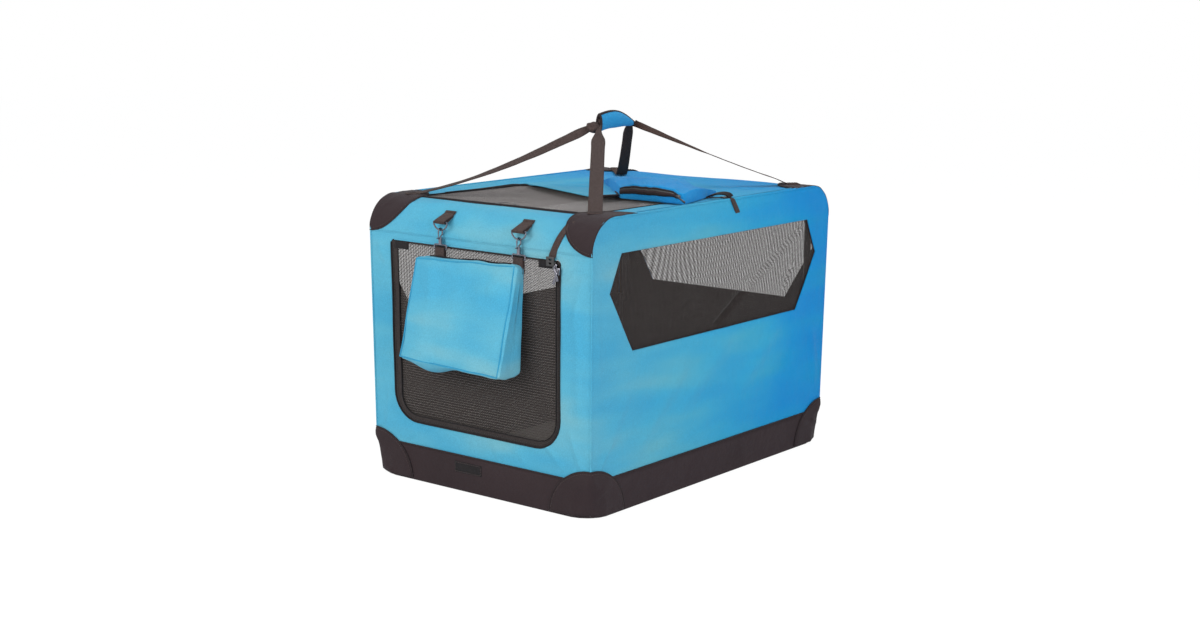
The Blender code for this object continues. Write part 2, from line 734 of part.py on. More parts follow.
def roof_hatch():
    """Net hatch under the cover, its front hem and the two zip sliders on the hem."""
    low = FABRIC + GAP
    panel("hatch_net", [hatch_outline(NET_LAP)], on_top, (low, low + NET), "black_net")
    half = HATCH_WIDTH / 2 - DOOR_GAP
    front = HATCH_FRONT + DOOR_GAP
    corners = [(-half, front), (half, front), (half, front + HEM_WIDTH), (-half, front + HEM_WIDTH)]
    outline = rounded(corners, [HATCH_CORNER - DOOR_GAP, HATCH_CORNER - DOOR_GAP, 0, 0])
    top = HEIGHT - (FABRIC - HEM_THICKNESS)
    hem = panel(
        "hatch_hem", [outline], lambda u, v, d: Vector((u, v, d)), (top - HEM_THICKNESS, top),
        "dark_fabric"
    )
    middle = front + HEM_WIDTH / 2
    for i, x in enumerate(HATCH_PULLS):
        low_corner = (x - SLIDER_LENGTH / 2, middle - SLIDER_WIDTH / 2, top - HEM_THICKNESS / 2)
        high_corner = (x + SLIDER_LENGTH / 2, middle + SLIDER_WIDTH / 2, top + SLIDER_HEIGHT)
        slider = block("hatch_slider" + str(i), low_corner, high_corner, "plated_steel")
        combine(hem, slider, "UNION")


def flap_corners():
    """The cover flap, unzipped and folded back over the rear of the hatch."""
    return [
        (x_share * HATCH_WIDTH, HATCH_REAR + y_share * LENGTH)
        for x_share, y_share in FLAP_OUTLINE_SHARES
    ]


def flap_place(u, v, depth):
    """The flap's free front edge stands a little off the hatch."""
    share = (FLAP_LIFT_REAR - v) / (FLAP_LIFT_REAR - FLAP_LIFT_FRONT)
    lift = FLAP_LIFT * min(1.0, max(0.0, share))
    return Vector((u, v, HEIGHT + GAP + lift + depth))


def flap_and_pocket():
    """Folded cover flap, and the zipped pocket beside it."""
    corners = rounded(flap_corners(), [0, POCKET_CORNER, POCKET_CORNER, 0, 0])
    creases = [("v", FLAP_LIFT_REAR), ("v", FLAP_LIFT_FRONT)]
    panel("cover_flap", [corners], flap_place, (0, FLAP_THICKNESS), "blue_fabric", creases)
    right, far = Vector(flap_corners()[2]), Vector(flap_corners()[3])
    side = WIDTH / 2 - SIDE_TIE_REACH - 2 * GAP
    rim = [
        (right.x + POCKET_CORNER / 2, right.y + POCKET_CORNER / 2), (side, right.y + POCKET_CORNER / 2),
        (side, far.y), (far.x + POCKET_CORNER, far.y),
    ]
    radii = [POCKET_CORNER / 2, POCKET_CORNER, POCKET_CORNER, POCKET_CORNER / 2]
    rings = []
    for level_share, inset_share in POCKET_CROWN_SHARES:
        z = HEIGHT + GAP + POCKET_HEIGHT * level_share
        ring = offset(rounded(rim, radii), POCKET_SHOULDER * inset_share)
        rings.append([(x, y, z) for x, y in ring])
    loft("roof_pocket", rings, "blue_fabric")
    pocket_slider(rim)


def pocket_slider(rim):
    """Slider at the right end of the pocket's zip, clear of the pocket's front."""
    x = rim[1][0] - POCKET_CORNER - SLIDER_LENGTH
    y = rim[0][1] - GAP
    z = HEIGHT + GAP + POCKET_HEIGHT * POCKET_ZIP_SHARE
    block(
        "pocket_zip_slider", (x - SLIDER_LENGTH / 2, y - SLIDER_HEIGHT, z - SLIDER_WIDTH / 2),
        (x + SLIDER_LENGTH / 2, y, z + SLIDER_WIDTH / 2), "plated_steel", SLIDER_HEIGHT / 5
    )


def grip_ring(share):
    """Oval section of the padded grip, tall to past its middle and low at the rear."""
    y = GRIP_FRONT + (GRIP_REAR - GRIP_FRONT) * share
    z = GRIP_FRONT_Z + (GRIP_REAR_Z - GRIP_FRONT_Z) * share + GRIP_RISE * math.sin(math.pi * share)
    high = GRIP_FRONT_HALF_HEIGHT + (GRIP_REAR_HALF_HEIGHT - GRIP_FRONT_HALF_HEIGHT) * share ** 3
    ring = []
    for i in range(ROUND_SIDES):
        angle = 2 * math.pi * i / ROUND_SIDES
        ring.append((GRIP_HALF_WIDTH * math.cos(angle), y, z + high * math.sin(angle)))
    return ring


def carrying_handle():
    """Padded grip and four webbing straps from its ends to the cover."""
    loft("handle_grip", [grip_ring(i / ARC_STEPS) for i in range(ARC_STEPS + 1)], "blue_fabric")
    for end, end_tag in ((-1, "front"), (1, "rear")):
        grip_y = (GRIP_FRONT if end < 0 else GRIP_REAR) + end * 2 * GAP
        grip_z = GRIP_FRONT_Z - STRAP_HEAD_DROP if end < 0 else GRIP_REAR_Z
        for side, side_tag in ((-1, "left"), (1, "right")):
            foot = Vector((side * FOOT_X, end * FOOT_Y))
            head = Vector((side * STRAP_END_X, grip_y, grip_z - WEBBING_THICKNESS / 2))
            run = (foot - head.xy).normalized()
            across = Vector((abs(run.y), -side * end * abs(run.x))) * WEBBING / 2
            strap(end_tag + "_" + side_tag, foot, head, across)


def strap(tag, foot, head, across):
    """One flat strap from its sewn foot up to the grip, gathered where it goes in."""
    low = HEIGHT + GAP + PATCH_THICKNESS + GAP
    gathered = Vector((STRAP_END_X - GAP, 0))
    rings = []
    for centre, half, z in ((foot, across, low), (head.xy, gathered, head.z)):
        corners = []
        for share, rise in ((-1, 0), (1, 0), (1, 1), (-1, 1)):
            point = centre + half * share
            corners.append((point.x, point.y, z + WEBBING_THICKNESS * rise))
        rings.append(corners)
    made = loft("handle_strap_" + tag, rings, "webbing", smooth=False)
    bm = bmesh.new()
    bm.from_mesh(made.data)
    bmesh.ops.triangulate(bm, faces=bm.faces[:])
    bm.to_mesh(made.data)
    bm.free()


def cover_point(z):
    """Distance of the front cover's outer face from the middle, at a height on its arc."""
    return END_CENTRE + math.sqrt(END_RADIUS ** 2 - (z - SHOULDER) ** 2)


def hanging_tab(tag, x):
    """Webbing tab, sewn to the front edge of the cover, with an eye for the ring's bar."""
    start = Vector((-cover_point(TAB_Z), TAB_Z))
    end = Vector((-HANG_Y, RING_Z))
    run = (end - start).normalized()
    square = Vector((-abs(run.y), abs(run.x)))
    near, far = start + square * TAB_LIFT, end
    outline = [near, far, far + square * TAB_THICKNESS, near + square * TAB_THICKNESS]
    half = TAB_WIDTH / 2
    body = panel(
        "pouch_tab_" + tag, [outline], lambda u, v, d: Vector((d, u, v)), (x - half, x + half),
        "webbing", smooth=False
    )
    eye = RING_WIRE + GAP + TAB_THICKNESS
    ends = ((x - half, -HANG_Y, RING_Z), (x + half, -HANG_Y, RING_Z))
    combine(body, rod("tab_eye_" + tag, *ends, eye, "webbing"), "UNION")
    ends = ((x - half - CUT, -HANG_Y, RING_Z), (x + half + CUT, -HANG_Y, RING_Z))
    combine(body, rod("tab_bore_" + tag, *ends, RING_WIRE + GAP, "webbing"), "DIFFERENCE")


def d_ring(tag, x):
    """Straight bar in the tab, with a bow below it."""
    half = RING_WIDTH / 2
    drop = RING_DEPTH
    bow = []
    for px, pz in arc((0, 0), 1, 180, 360, ARC_STEPS + 4):
        bow.append((x + px * half, -HANG_Y, RING_Z + pz * drop))
    sweep("d_ring_" + tag, bow, (RING_WIRE, RING_WIRE), "plated_steel", (0, 1, 0), True, WIRE_SIDES)


def ring_low():
    return RING_Z - RING_DEPTH


def hook_levels():
    """Heights of the bend's centre, the tip, the barrel's top and foot, and the eye's lower bar."""
    bend = ring_low() + RING_WIRE + GAP + HOOK_WIRE - hook_reach()
    barrel_top = bend - HOOK_DROP
    barrel_low = barrel_top - BARREL_LENGTH
    return bend, bend - hook_reach() * HOOK_TIP_SHARE, barrel_top, barrel_low, barrel_low - EYE_DEPTH


def hook_reach():
    """Distance of the gate, and of the hook's back, from the barrel's axis."""
    return BARREL_RADIUS + GATE_WIRE + GAP


def snap_hook(tag, x):
    """Hook on the ring's bow, barrel, and a flat eye below; a sprung gate slides along the barrel."""
    bend, tip, barrel_top, barrel_low, bar = hook_levels()
    reach = hook_reach()
    barrel_ends = ((x, -HANG_Y, barrel_top), (x, -HANG_Y, barrel_low))
    body = rod("snap_hook_" + tag, *barrel_ends, BARREL_RADIUS, "plated_steel")
    path = [(0, barrel_top - HOOK_WIRE), (0, barrel_top + HOOK_WIRE)]
    path += [(reach, barrel_top + reach)] + arc((0, bend), reach, 0, 180) + [(-reach, tip)]
    points = [(x, py - HANG_Y, pz) for py, pz in path]
    radii = (HOOK_WIRE, HOOK_WIRE)
    bow = sweep("hook_bow_" + tag, points, radii, "plated_steel", (1, 0, 0), sides=WIRE_SIDES)
    combine(body, bow, "UNION")
    half = EYE_HALF_WIDTH
    corners = [(-half, bar), (half, bar), (half, barrel_low), (-half, barrel_low)]
    frame = [(x + px, -HANG_Y, pz) for px, pz in rounded(corners, [EYE_CORNER] * 4)]
    eye = sweep("hook_eye_" + tag, frame, (HOOK_WIRE, HOOK_WIRE), "plated_steel", (0, 1, 0), True, WIRE_SIDES)
    combine(body, eye, "UNION")
    gate_y, top = -HANG_Y - reach, tip - GAP
    gate_ends = ((x, gate_y, top), (x, gate_y, top - GATE_LENGTH))
    gate = rod("hook_gate_" + tag, *gate_ends, GATE_WIRE, "plated_steel", WIRE_SIDES)
    thumb_z = top - GATE_LENGTH + GATE_THUMB
    thumb = rod(
        "hook_thumb_" + tag, (x, gate_y, thumb_z), (x, gate_y - 2 * GATE_THUMB, thumb_z),
        GATE_THUMB / 2, "plated_steel", WIRE_SIDES
    )
    combine(gate, thumb, "UNION")


def pouch_loop(body, tag, x):
    """Webbing loop from the pouch, round the lower bar of the hook's eye."""
    bar = hook_levels()[-1]
    foot = POUCH_TOP - LOOP_REACH
    path = [(-LOOP_BEND, foot)] + arc((0, bar), LOOP_BEND, 180, 0) + [(LOOP_BEND, foot)]
    points = [Vector((x, -HANG_Y + py, pz)) for py, pz in path]
    ribbon(body, "pouch_loop_" + tag, points)


def ribbon(body, name, path):
    """A flat strip along a path in the YZ plane, joined to a body."""
    bm = bmesh.new()
    loops = []
    for i, point in enumerate(path):
        before, after = path[max(0, i - 1)], path[min(len(path) - 1, i + 1)]
        inward = (after - before).normalized().cross(Vector((1, 0, 0))) * LOOP_THICKNESS / 2
        side = Vector((LOOP_WIDTH / 2, 0, 0))
        corners = (-side - inward, side - inward, side + inward, inward - side)
        loops.append([bm.verts.new(point + corner) for corner in corners])
    for low, high in zip(loops, loops[1:]):
        for k in range(4):
            bm.faces.new((low[k - 1], low[k], high[k], high[k - 1]))
    bm.faces.new(loops[0])
    bm.faces.new(loops[-1])
    combine(body, add_object(name, bm, "webbing", smooth=False), "UNION")


def pouch():
    """Gusseted pouch, thicker at its foot, and the two loops that hang it."""
    rings = []
    half = POUCH_WIDTH / 2
    back_top = -HANG_Y + LOOP_BEND - LOOP_THICKNESS / 2
    steps = 6
    for i in range(steps + 1):
        share = i / steps
        z = POUCH_TOP + (POUCH_LOW - POUCH_TOP) * share
        depth = POUCH_TOP_DEPTH + (POUCH_LOW_DEPTH - POUCH_TOP_DEPTH) * share
        back = back_top - POUCH_LEAN * share
        trim = POUCH_CORNER / 2 if i in (0, steps) else 0
        corners = [
            (POUCH_X - half + trim, back - trim / 3), (POUCH_X - half + trim, back - depth + trim),
            (POUCH_X + half - trim, back - depth + trim), (POUCH_X + half - trim, back - trim / 3),
        ]
        level = z - trim / 3 if i == 0 else z
        rings.append([(x, y, level) for x, y in rounded(corners, [POUCH_CORNER / 2] * 4, 3)])
    body = loft("pouch", rings, "blue_fabric")
    for tag, x in zip(("left", "right"), HOOK_X):
        pouch_loop(body, tag, x)


def tie_straps():
    """Straps for a rolled door and a rolled side cover."""
    low, high = -DOOR_TIE_TAIL, DOOR_TIE_TOP
    half = TIE_WIDTH / 2
    outline = [
        (DOOR_TIE_X - half, low), (DOOR_TIE_X + half, low),
        (DOOR_TIE_X + DOOR_TIE_SLANT + half, high), (DOOR_TIE_X + DOOR_TIE_SLANT - half, high),
    ]
    cuts = [("v", 0.0)] + bend_cuts(low, high)
    panel("door_tie", [outline], on_top, (-GAP - TIE_THICKNESS, -GAP), "webbing", cuts, smooth=False)
    outer_x, top = WIDTH / 2 + GAP, HEIGHT + GAP
    start_x, tail_z = outer_x - SIDE_TIE_REACH, HEIGHT - SIDE_TIE_DROP
    inner = [(start_x, top), (outer_x, top), (outer_x, tail_z)]
    outer = [
        (outer_x + TIE_THICKNESS, tail_z), (outer_x + TIE_THICKNESS, top),
        (outer_x, top + TIE_THICKNESS), (start_x, top + TIE_THICKNESS),
    ]
    span = (SIDE_TIE_Y - half, SIDE_TIE_Y + half)
    length = SIDE_TIE_REACH + top - tail_z

    def slanted(u, v, depth):
        return Vector((u, depth + SIDE_TIE_SLANT * (u - start_x + top - v) / length, v))

    panel("side_tie", [inner + outer], slanted, span, "webbing", smooth=False)


def build():
    clear_scene()
    base_tray()
    floor_mat()
    base_frame()
    folding_posts()
    top_frame()
    walls_and_windows()
    front_door()
    top_cover()
    roof_hatch()
    flap_and_pocket()
    carrying_handle()
    for tag, x in zip(("left", "right"), HOOK_X):
        hanging_tab(tag, x)
        d_ring(tag, x)
        snap_hook(tag, x)
    pouch()
    tie_straps()


build()
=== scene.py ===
"""Looks of the soft folding dog crate: its cloth, net, webbing, hardware, light and camera."""
import json
import math

import bmesh
import bpy
from mathutils import Matrix, Vector, noise


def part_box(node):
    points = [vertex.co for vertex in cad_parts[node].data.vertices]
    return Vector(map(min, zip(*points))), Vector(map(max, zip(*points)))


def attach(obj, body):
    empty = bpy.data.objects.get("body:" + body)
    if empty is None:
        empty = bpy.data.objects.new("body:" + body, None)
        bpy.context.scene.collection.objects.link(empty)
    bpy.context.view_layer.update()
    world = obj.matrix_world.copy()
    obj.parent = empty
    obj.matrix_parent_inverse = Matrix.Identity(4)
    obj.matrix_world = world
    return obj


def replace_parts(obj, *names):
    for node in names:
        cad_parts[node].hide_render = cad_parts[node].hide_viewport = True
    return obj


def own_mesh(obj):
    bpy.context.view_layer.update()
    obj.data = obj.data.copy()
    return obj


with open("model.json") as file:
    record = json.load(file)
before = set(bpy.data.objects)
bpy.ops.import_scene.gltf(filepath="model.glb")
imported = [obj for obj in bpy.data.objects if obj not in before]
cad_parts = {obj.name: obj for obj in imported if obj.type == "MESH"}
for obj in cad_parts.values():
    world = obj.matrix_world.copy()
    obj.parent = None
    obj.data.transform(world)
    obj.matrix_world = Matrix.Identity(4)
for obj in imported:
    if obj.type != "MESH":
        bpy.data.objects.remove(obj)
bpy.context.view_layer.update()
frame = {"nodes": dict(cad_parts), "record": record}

# Camera, found from the corners of the cabin
CAMERA_AZIMUTH = 38.16
CAMERA_ELEVATION = 10.45
CAMERA_ROLL = 0.46
CAMERA_DISTANCE = 4.23
CAMERA_SLIDE_ACROSS = -0.0168
CAMERA_SLIDE_UP = 0.0217
SENSOR = 36.0
PHOTO_WIDTH = 1200
FOCAL_PIXELS = 1799.1

# Sides and corners of the cabin
SIDES = ((-1, "left"), (1, "right"))
ENDS = ((-1, "front"), (1, "rear"))
CORNERS = [(side, end, end_tag + "_" + side_tag) for side, side_tag in SIDES for end, end_tag in ENDS]

# Cabin
HALF_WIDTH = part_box("wall_right")[1].x
HALF_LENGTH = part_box("wall_right")[1].y
LENGTH = 2 * HALF_LENGTH
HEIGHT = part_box("wall_right")[1].z
BAND_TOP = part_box("base_tray")[1].z
END_RADIUS = 0.075
SIDE_LEAN = 0.006
END_LEAN = 0.008
SHOULDER = HEIGHT - END_RADIUS
END_CENTRE = HALF_LENGTH - END_RADIUS
ARC_RUN = END_RADIUS * math.pi / 2
HALF_RUN = END_CENTRE + ARC_RUN
FOLD_DROP = 0.468

# Cloth
CANVAS = 0.0016
GRID = 0.006
SNAP = 0.00004
TUCK = 0.006
WALL_FOOT = BAND_TOP - TUCK
PROUD = 0.0012
YARN = 0.0012
SEAM_ROLL = 0.0024
HEM_RUN = 0.03
SEAM_PITCH = 0.02
NET_PITCH = 0.0022
DOOR_NET_PITCH = 0.0029
DOOR_NET_ROWS = 0.0056

# Door, windows and hatch
DOOR_LOW_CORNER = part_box("door_border")[0]
DOOR_HIGH_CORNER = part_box("door_border")[1]
DOOR_CORNER = 0.070
DOOR_TOP_CORNER = 0.010
DOOR_GAP = 0.002
DOOR_BORDER = 0.020
WINDOW_MIDDLE = 0.477
SIDE_WINDOW_TOP = 0.722
SIDE_WINDOW_MIDDLE = 0.806
SIDE_WINDOW_LOW = 0.644
REAR_WINDOW_TOP = 0.500
REAR_WINDOW_MIDDLE = 0.560
REAR_WINDOW_LOW = 0.410
NET_LAP = 0.005
NET_DEPTH = 0.003
HATCH_CORNER = 0.020
PATCH_RADIUS = 0.095
PATCH_SEAM_IN = 0.005
PATCH_PIPING = 0.00136

# Stitches of the sewing thread
STITCH = 0.0035
STITCH_PITCH = 0.0055
THREAD = 0.0009


# Places on the cabin

def side_at(z):
    """Half width of the cabin at a height."""
    return HALF_WIDTH - SIDE_LEAN * max(0.0, 1 - z / SHOULDER)


def end_at(z):
    """Half length of the cabin at a height."""
    return HALF_LENGTH - END_LEAN * max(0.0, 1 - z / SHOULDER)


def on_end(facing):
    """Front (-1) or rear (+1) wall: u across, v up, out from the face."""
    def place(u, v, out=0.0):
        x = -facing * u * side_at(v) / HALF_WIDTH
        return Vector((x, facing * (end_at(v) + out), v))
    return place


def on_side(facing):
    """Left (-1) or right (+1) wall: u across, v up, out from the face."""
    def place(u, v, out=0.0):
        y = facing * u * end_at(v) / HALF_LENGTH
        return Vector((facing * (side_at(v) + out), y, v))
    return place


def on_top(u, v, out=0.0):
    """Cover over the top and both rounded ends: u across, v along it from the middle."""
    way = -1 if v < 0 else 1
    past = abs(v) - END_CENTRE
    if past <= 0:
        return Vector((u, v, HEIGHT + out))
    turn = min(past, ARC_RUN) / END_RADIUS
    reach = END_RADIUS + out
    drop = max(0.0, past - ARC_RUN)
    y = way * (END_CENTRE + reach * math.sin(turn))
    return Vector((u, y, SHOULDER + reach * math.cos(turn) - drop))


def along(points, widths):
    """Place on a strap: u across it, v from 0 to 1 along a smooth line of points."""
    points = [Vector(p) for p in points]
    widths = [Vector(w) for w in widths]
    last = len(points) - 1

    def smooth(values, v):
        at = min(max(v, 0.0), 1.0) * last
        i = min(int(at), last - 1)
        t = at - i
        a, b = values[max(i - 1, 0)], values[i]
        c, d = values[i + 1], values[min(i + 2, last)]
        steady = (2 * b) + (c - a) * t
        return (steady + (2 * a - 5 * b + 4 * c - d) * t * t + (3 * b - 3 * c + d - a) * t ** 3) / 2

    def place(u, v, out=0.0):
        across = smooth(widths, v)
        ahead = smooth(points, v + 0.01) - smooth(points, v - 0.01)
        square = across.cross(ahead).normalized()
        return smooth(points, v) + across * u + square * out
    return place


# Outlines

def arc(centre, radius, start, end, steps=8):
    """Points of a flat arc, angles in degrees; radius may differ across and up."""
    across, up = radius if isinstance(radius, tuple) else (radius, radius)
    points = []
    for i in range(steps + 1):
        angle = math.radians(start + (end - start) * i / steps)
        points.append((centre[0] + across * math.cos(angle), centre[1] + up * math.sin(angle)))
    return points


def rounded_box(low, high, low_radius, high_radius, steps=8):
    """An upright rounded rectangle, anticlockwise."""
    made = arc((high[0] - low_radius, low[1] + low_radius), low_radius, -90, 0, steps)
    made += arc((high[0] - high_radius, high[1] - high_radius), high_radius, 0, 90, steps)
    made += arc((low[0] + high_radius, high[1] - high_radius), high_radius, 90, 180, steps)
    made += arc((low[0] + low_radius, low[1] + low_radius), low_radius, 180, 270, steps)
    return made


def door_outline(inset=0.0):
    """The doorway, drawn in by an inset."""
    low = (DOOR_LOW_CORNER.x - DOOR_GAP + inset, DOOR_LOW_CORNER.z - DOOR_GAP + inset)
    high = (DOOR_HIGH_CORNER.x + DOOR_GAP - inset, DOOR_HIGH_CORNER.z - inset)
    return rounded_box(low, high, DOOR_CORNER - inset, max(DOOR_TOP_CORNER - inset, DOOR_TOP_CORNER / 2))


def window_outline(node, top, middle, low, lap=0.0):
    """A six-sided window, widest part way down, let out by a lap."""
    foot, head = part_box(node)[0].z + NET_LAP - lap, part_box(node)[1].z - NET_LAP + lap
    top, middle, low = top / 2 + lap, middle / 2 + lap, low / 2 + lap
    return [
        (-low, foot), (low, foot), (middle, WINDOW_MIDDLE),
        (top, head), (-top, head), (-middle, WINDOW_MIDDLE),
    ]


def side_window(lap=0.0):
    """Outline of a side window."""
    return window_outline("window_right", SIDE_WINDOW_TOP, SIDE_WINDOW_MIDDLE, SIDE_WINDOW_LOW, lap)


def rear_window(lap=0.0):
    """Outline of the rear window."""
    return window_outline("window_rear", REAR_WINDOW_TOP, REAR_WINDOW_MIDDLE, REAR_WINDOW_LOW, lap)


def side_wall_outline():
    """Side wall with both top corners rounded."""
    made = [(-HALF_LENGTH, WALL_FOOT), (HALF_LENGTH, WALL_FOOT)]
    made += arc((END_CENTRE, SHOULDER), END_RADIUS, 0, 90, 10)
    return made + arc((-END_CENTRE, SHOULDER), END_RADIUS, 90, 180, 10)


# Modelling

CUTS = {}


def flat_cloth(width, low, high, step, middle=0.0):
    """A flat sheet in a fine grid, u across from its middle and v up."""
    bm = bmesh.new()
    columns, rows = max(2, round(width / step)), max(2, round((high - low) / step))
    bmesh.ops.create_grid(bm, x_segments=columns, y_segments=rows, size=0.5)
    bmesh.ops.scale(bm, vec=(width, high - low, 1), verts=bm.verts)
    bmesh.ops.translate(bm, vec=(middle, (high + low) / 2, 0), verts=bm.verts)
    return bm


def unit_box():
    """A box of side one, round the origin."""
    bm = bmesh.new()
    bmesh.ops.create_cube(bm, size=1)
    return bm


def cut(bm, spot, normal):
    """Cut every face that a plane crosses."""
    parts = bm.verts[:] + bm.edges[:] + bm.faces[:]
    bmesh.ops.bisect_plane(bm, geom=parts, dist=SNAP, plane_co=spot, plane_no=normal)


def cut_unit_box(bm, counts):
    """Cut a unit box into even slices along X, Y and Z."""
    for axis, count in enumerate(counts):
        normal = Vector([float(axis == k) for k in range(3)])
        for i in range(1, count):
            cut(bm, normal * (i / count - 0.5), normal)


def soft_unit_box(round_share, segments, counts):
    """A unit box with rounded edges, sliced finely enough to be shaped."""
    bm = unit_box()
    bevel(bm, bm.edges[:], round_share, segments)
    cut_unit_box(bm, counts)
    return bm


def bevel(bm, edges, offset, segments):
    """Round some edges."""
    bmesh.ops.bevel(
        bm, geom=edges, offset=offset, segments=segments, profile=0.5, affect="EDGES", material=-1
    )


def lay_uvs(bm, flat):
    """Give every corner of a face the place that it has on the flat cloth."""
    uv = bm.loops.layers.uv.new("Cloth")
    for face in bm.faces:
        for loop in face.loops:
            loop[uv].uv = flat(loop.vert.co)


def trim(bm, outline, keep_inside):
    """Cut a convex outline into the cloth, and take away what lies round it or in it."""
    corners = [Vector((p[0], p[1], 0)) for p in outline]
    sides = []
    for start, end in zip(corners, corners[1:] + corners[:1]):
        if (end - start).length > SNAP:
            sides.append((start, (end - start).cross(Vector((0, 0, 1))).normalized()))
    for start, outward in sides:
        cut(bm, start, outward)
    doomed = []
    for face in bm.faces:
        centre = face.calc_center_median()
        inside = all((centre - start).dot(outward) < 0 for start, outward in sides)
        if inside != keep_inside:
            doomed.append(face)
    bmesh.ops.delete(bm, geom=doomed, context="FACES")


def as_object(name, bm, *finishes, smooth=True):
    """Put a finished mesh in the scene, at the origin."""
    mesh = bpy.data.meshes.new(name)
    bm.to_mesh(mesh)
    bm.free()
    if smooth:
        mesh.shade_smooth()
    for item in finishes:
        mesh.materials.append(item)
    made = bpy.data.objects.new(name, mesh)
    bpy.context.scene.collection.objects.link(made)
    return made


def thicken(piece, thickness, lining=0, side=-1):
    """Give cloth its thickness, inwards unless side is 0; the lining is the second finish."""
    step = piece.modifiers.new("Thickness", "SOLIDIFY")
    step.thickness = thickness
    step.offset = side
    step.use_even_offset = False
    step.material_offset = lining
    return piece


def cloth(name, bm, place, relief, finishes, thickness=CANVAS, lining=0):
    """Lay flat cloth in its place, with its relief, and keep the flat cut as UVs."""
    lay_uvs(bm, lambda spot: spot.xy)
    area = sum(face.calc_area() for face in bm.faces)
    across = [vert.co.x for vert in bm.verts]
    up = [vert.co.y for vert in bm.verts]
    CUTS[name] = (max(across) - min(across), max(up) - min(up), area)
    for vert in bm.verts:
        u, v = vert.co.xy
        vert.co = place(u, v, relief(u, v))
    piece = as_object(name, bm, *finishes)
    return thicken(piece, thickness, lining) if thickness else piece


def declare_sheet(piece):
    """Work out how large a piece of cloth was cut; the sizes are not used further."""
    width, length, area = CUTS[piece.name]
    area = min(area, width * length)


def tube(name, points, radius, material, closed=False):
    """A round piping or cord along points, as a mesh."""
    line = bpy.data.curves.new(name, "CURVE")
    line.dimensions = "3D"
    line.bevel_depth = radius
    line.bevel_resolution = 2
    line.use_fill_caps = not closed
    spline = line.splines.new("POLY")
    spline.points.add(len(points) - 1)
    for spot, point in zip(spline.points, points):
        spot.co = (*point, 1)
    spline.use_cyclic_u = closed
    guide = bpy.data.objects.new(name + "_guide", line)
    mesh = bpy.data.meshes.new_from_object(guide)
    mesh.name = name
    bpy.data.objects.remove(guide)
    bpy.data.curves.remove(line)
    mesh.materials.clear()
    mesh.materials.append(material)
    mesh.shade_smooth()
    made = bpy.data.objects.new(name, mesh)
    bpy.context.scene.collection.objects.link(made)
    return made


def spaced(points, pitch, closed=False):
    """The same line with points an even pitch apart."""
    points = [Vector(p) for p in points]
    if closed:
        points.append(points[0])
    made, rest = [points[0]], pitch
    for start, end in zip(points, points[1:]):
        run = (end - start).length
        done = rest
        while done < run:
            made.append(start.lerp(end, done / run))
            done += pitch
        rest = done - run
    return made


def stitches(name, lines, place, material, out=0.0):
    """Short bars of thread along flat lines, laid on the cloth."""
    bm = bmesh.new()
    for line, closed in lines:
        spots = spaced([(*p, 0) for p in line], STITCH_PITCH, closed)
        for here, ahead in zip(spots, spots[1:]):
            start = place(here.x, here.y, out)
            end = place(*here.lerp(ahead, STITCH / STITCH_PITCH).xy, out)
            run = end - start
            size = Matrix.Diagonal((THREAD, run.length, THREAD, 1))
            turn = run.to_track_quat("Y", "Z").to_matrix().to_4x4()
            bmesh.ops.create_cube(bm, size=1, matrix=Matrix.Translation((start + end) / 2) @ turn @ size)
    return as_object(name, bm, material, smooth=False)


def spaced_flat(outline, pitch):
    """A flat outline, its own corners and points between them a pitch or less apart."""
    made = [outline[0]]
    for start, end in zip(outline, outline[1:]):
        count = max(1, round(math.hypot(end[0] - start[0], end[1] - start[1]) / pitch))
        for i in range(1, count + 1):
            share = i / count
            made.append((start[0] + (end[0] - start[0]) * share, start[1] + (end[1] - start[1]) * share))
    return made


def closed_flat(outline, pitch):
    """The same round a closed outline, without its first point again at the end."""
    return spaced_flat(outline + outline[:1], pitch)[:-1]


def ridge(u, v, start, end, width, height):
    """Height of a soft fold along a line, dying away at its ends."""
    run_u, run_v = end[0] - start[0], end[1] - start[1]
    share = ((u - start[0]) * run_u + (v - start[1]) * run_v) / (run_u ** 2 + run_v ** 2)
    near = min(max(share, 0.0), 1.0)
    away = math.hypot(u - start[0] - near * run_u, v - start[1] - near * run_v)
    fade = 1 - (2 * near - 1) ** 4
    return height * fade * math.exp(-((away / width) ** 2))


def slack(u, v, size, height, seed):
    """Gentle unevenness of cloth."""
    return height * noise.noise(Vector((u / size, v / size, seed)))


# Finishes

def new_material(name, colour, roughness, metallic=0.0):
    """A plain material and its shader."""
    made = bpy.data.materials.new(name)
    made.use_nodes = True
    shader = made.node_tree.nodes["Principled BSDF"]
    shader.inputs["Base Color"].default_value = (*colour, 1)
    shader.inputs["Roughness"].default_value = roughness
    shader.inputs["Metallic"].default_value = metallic
    return made, shader


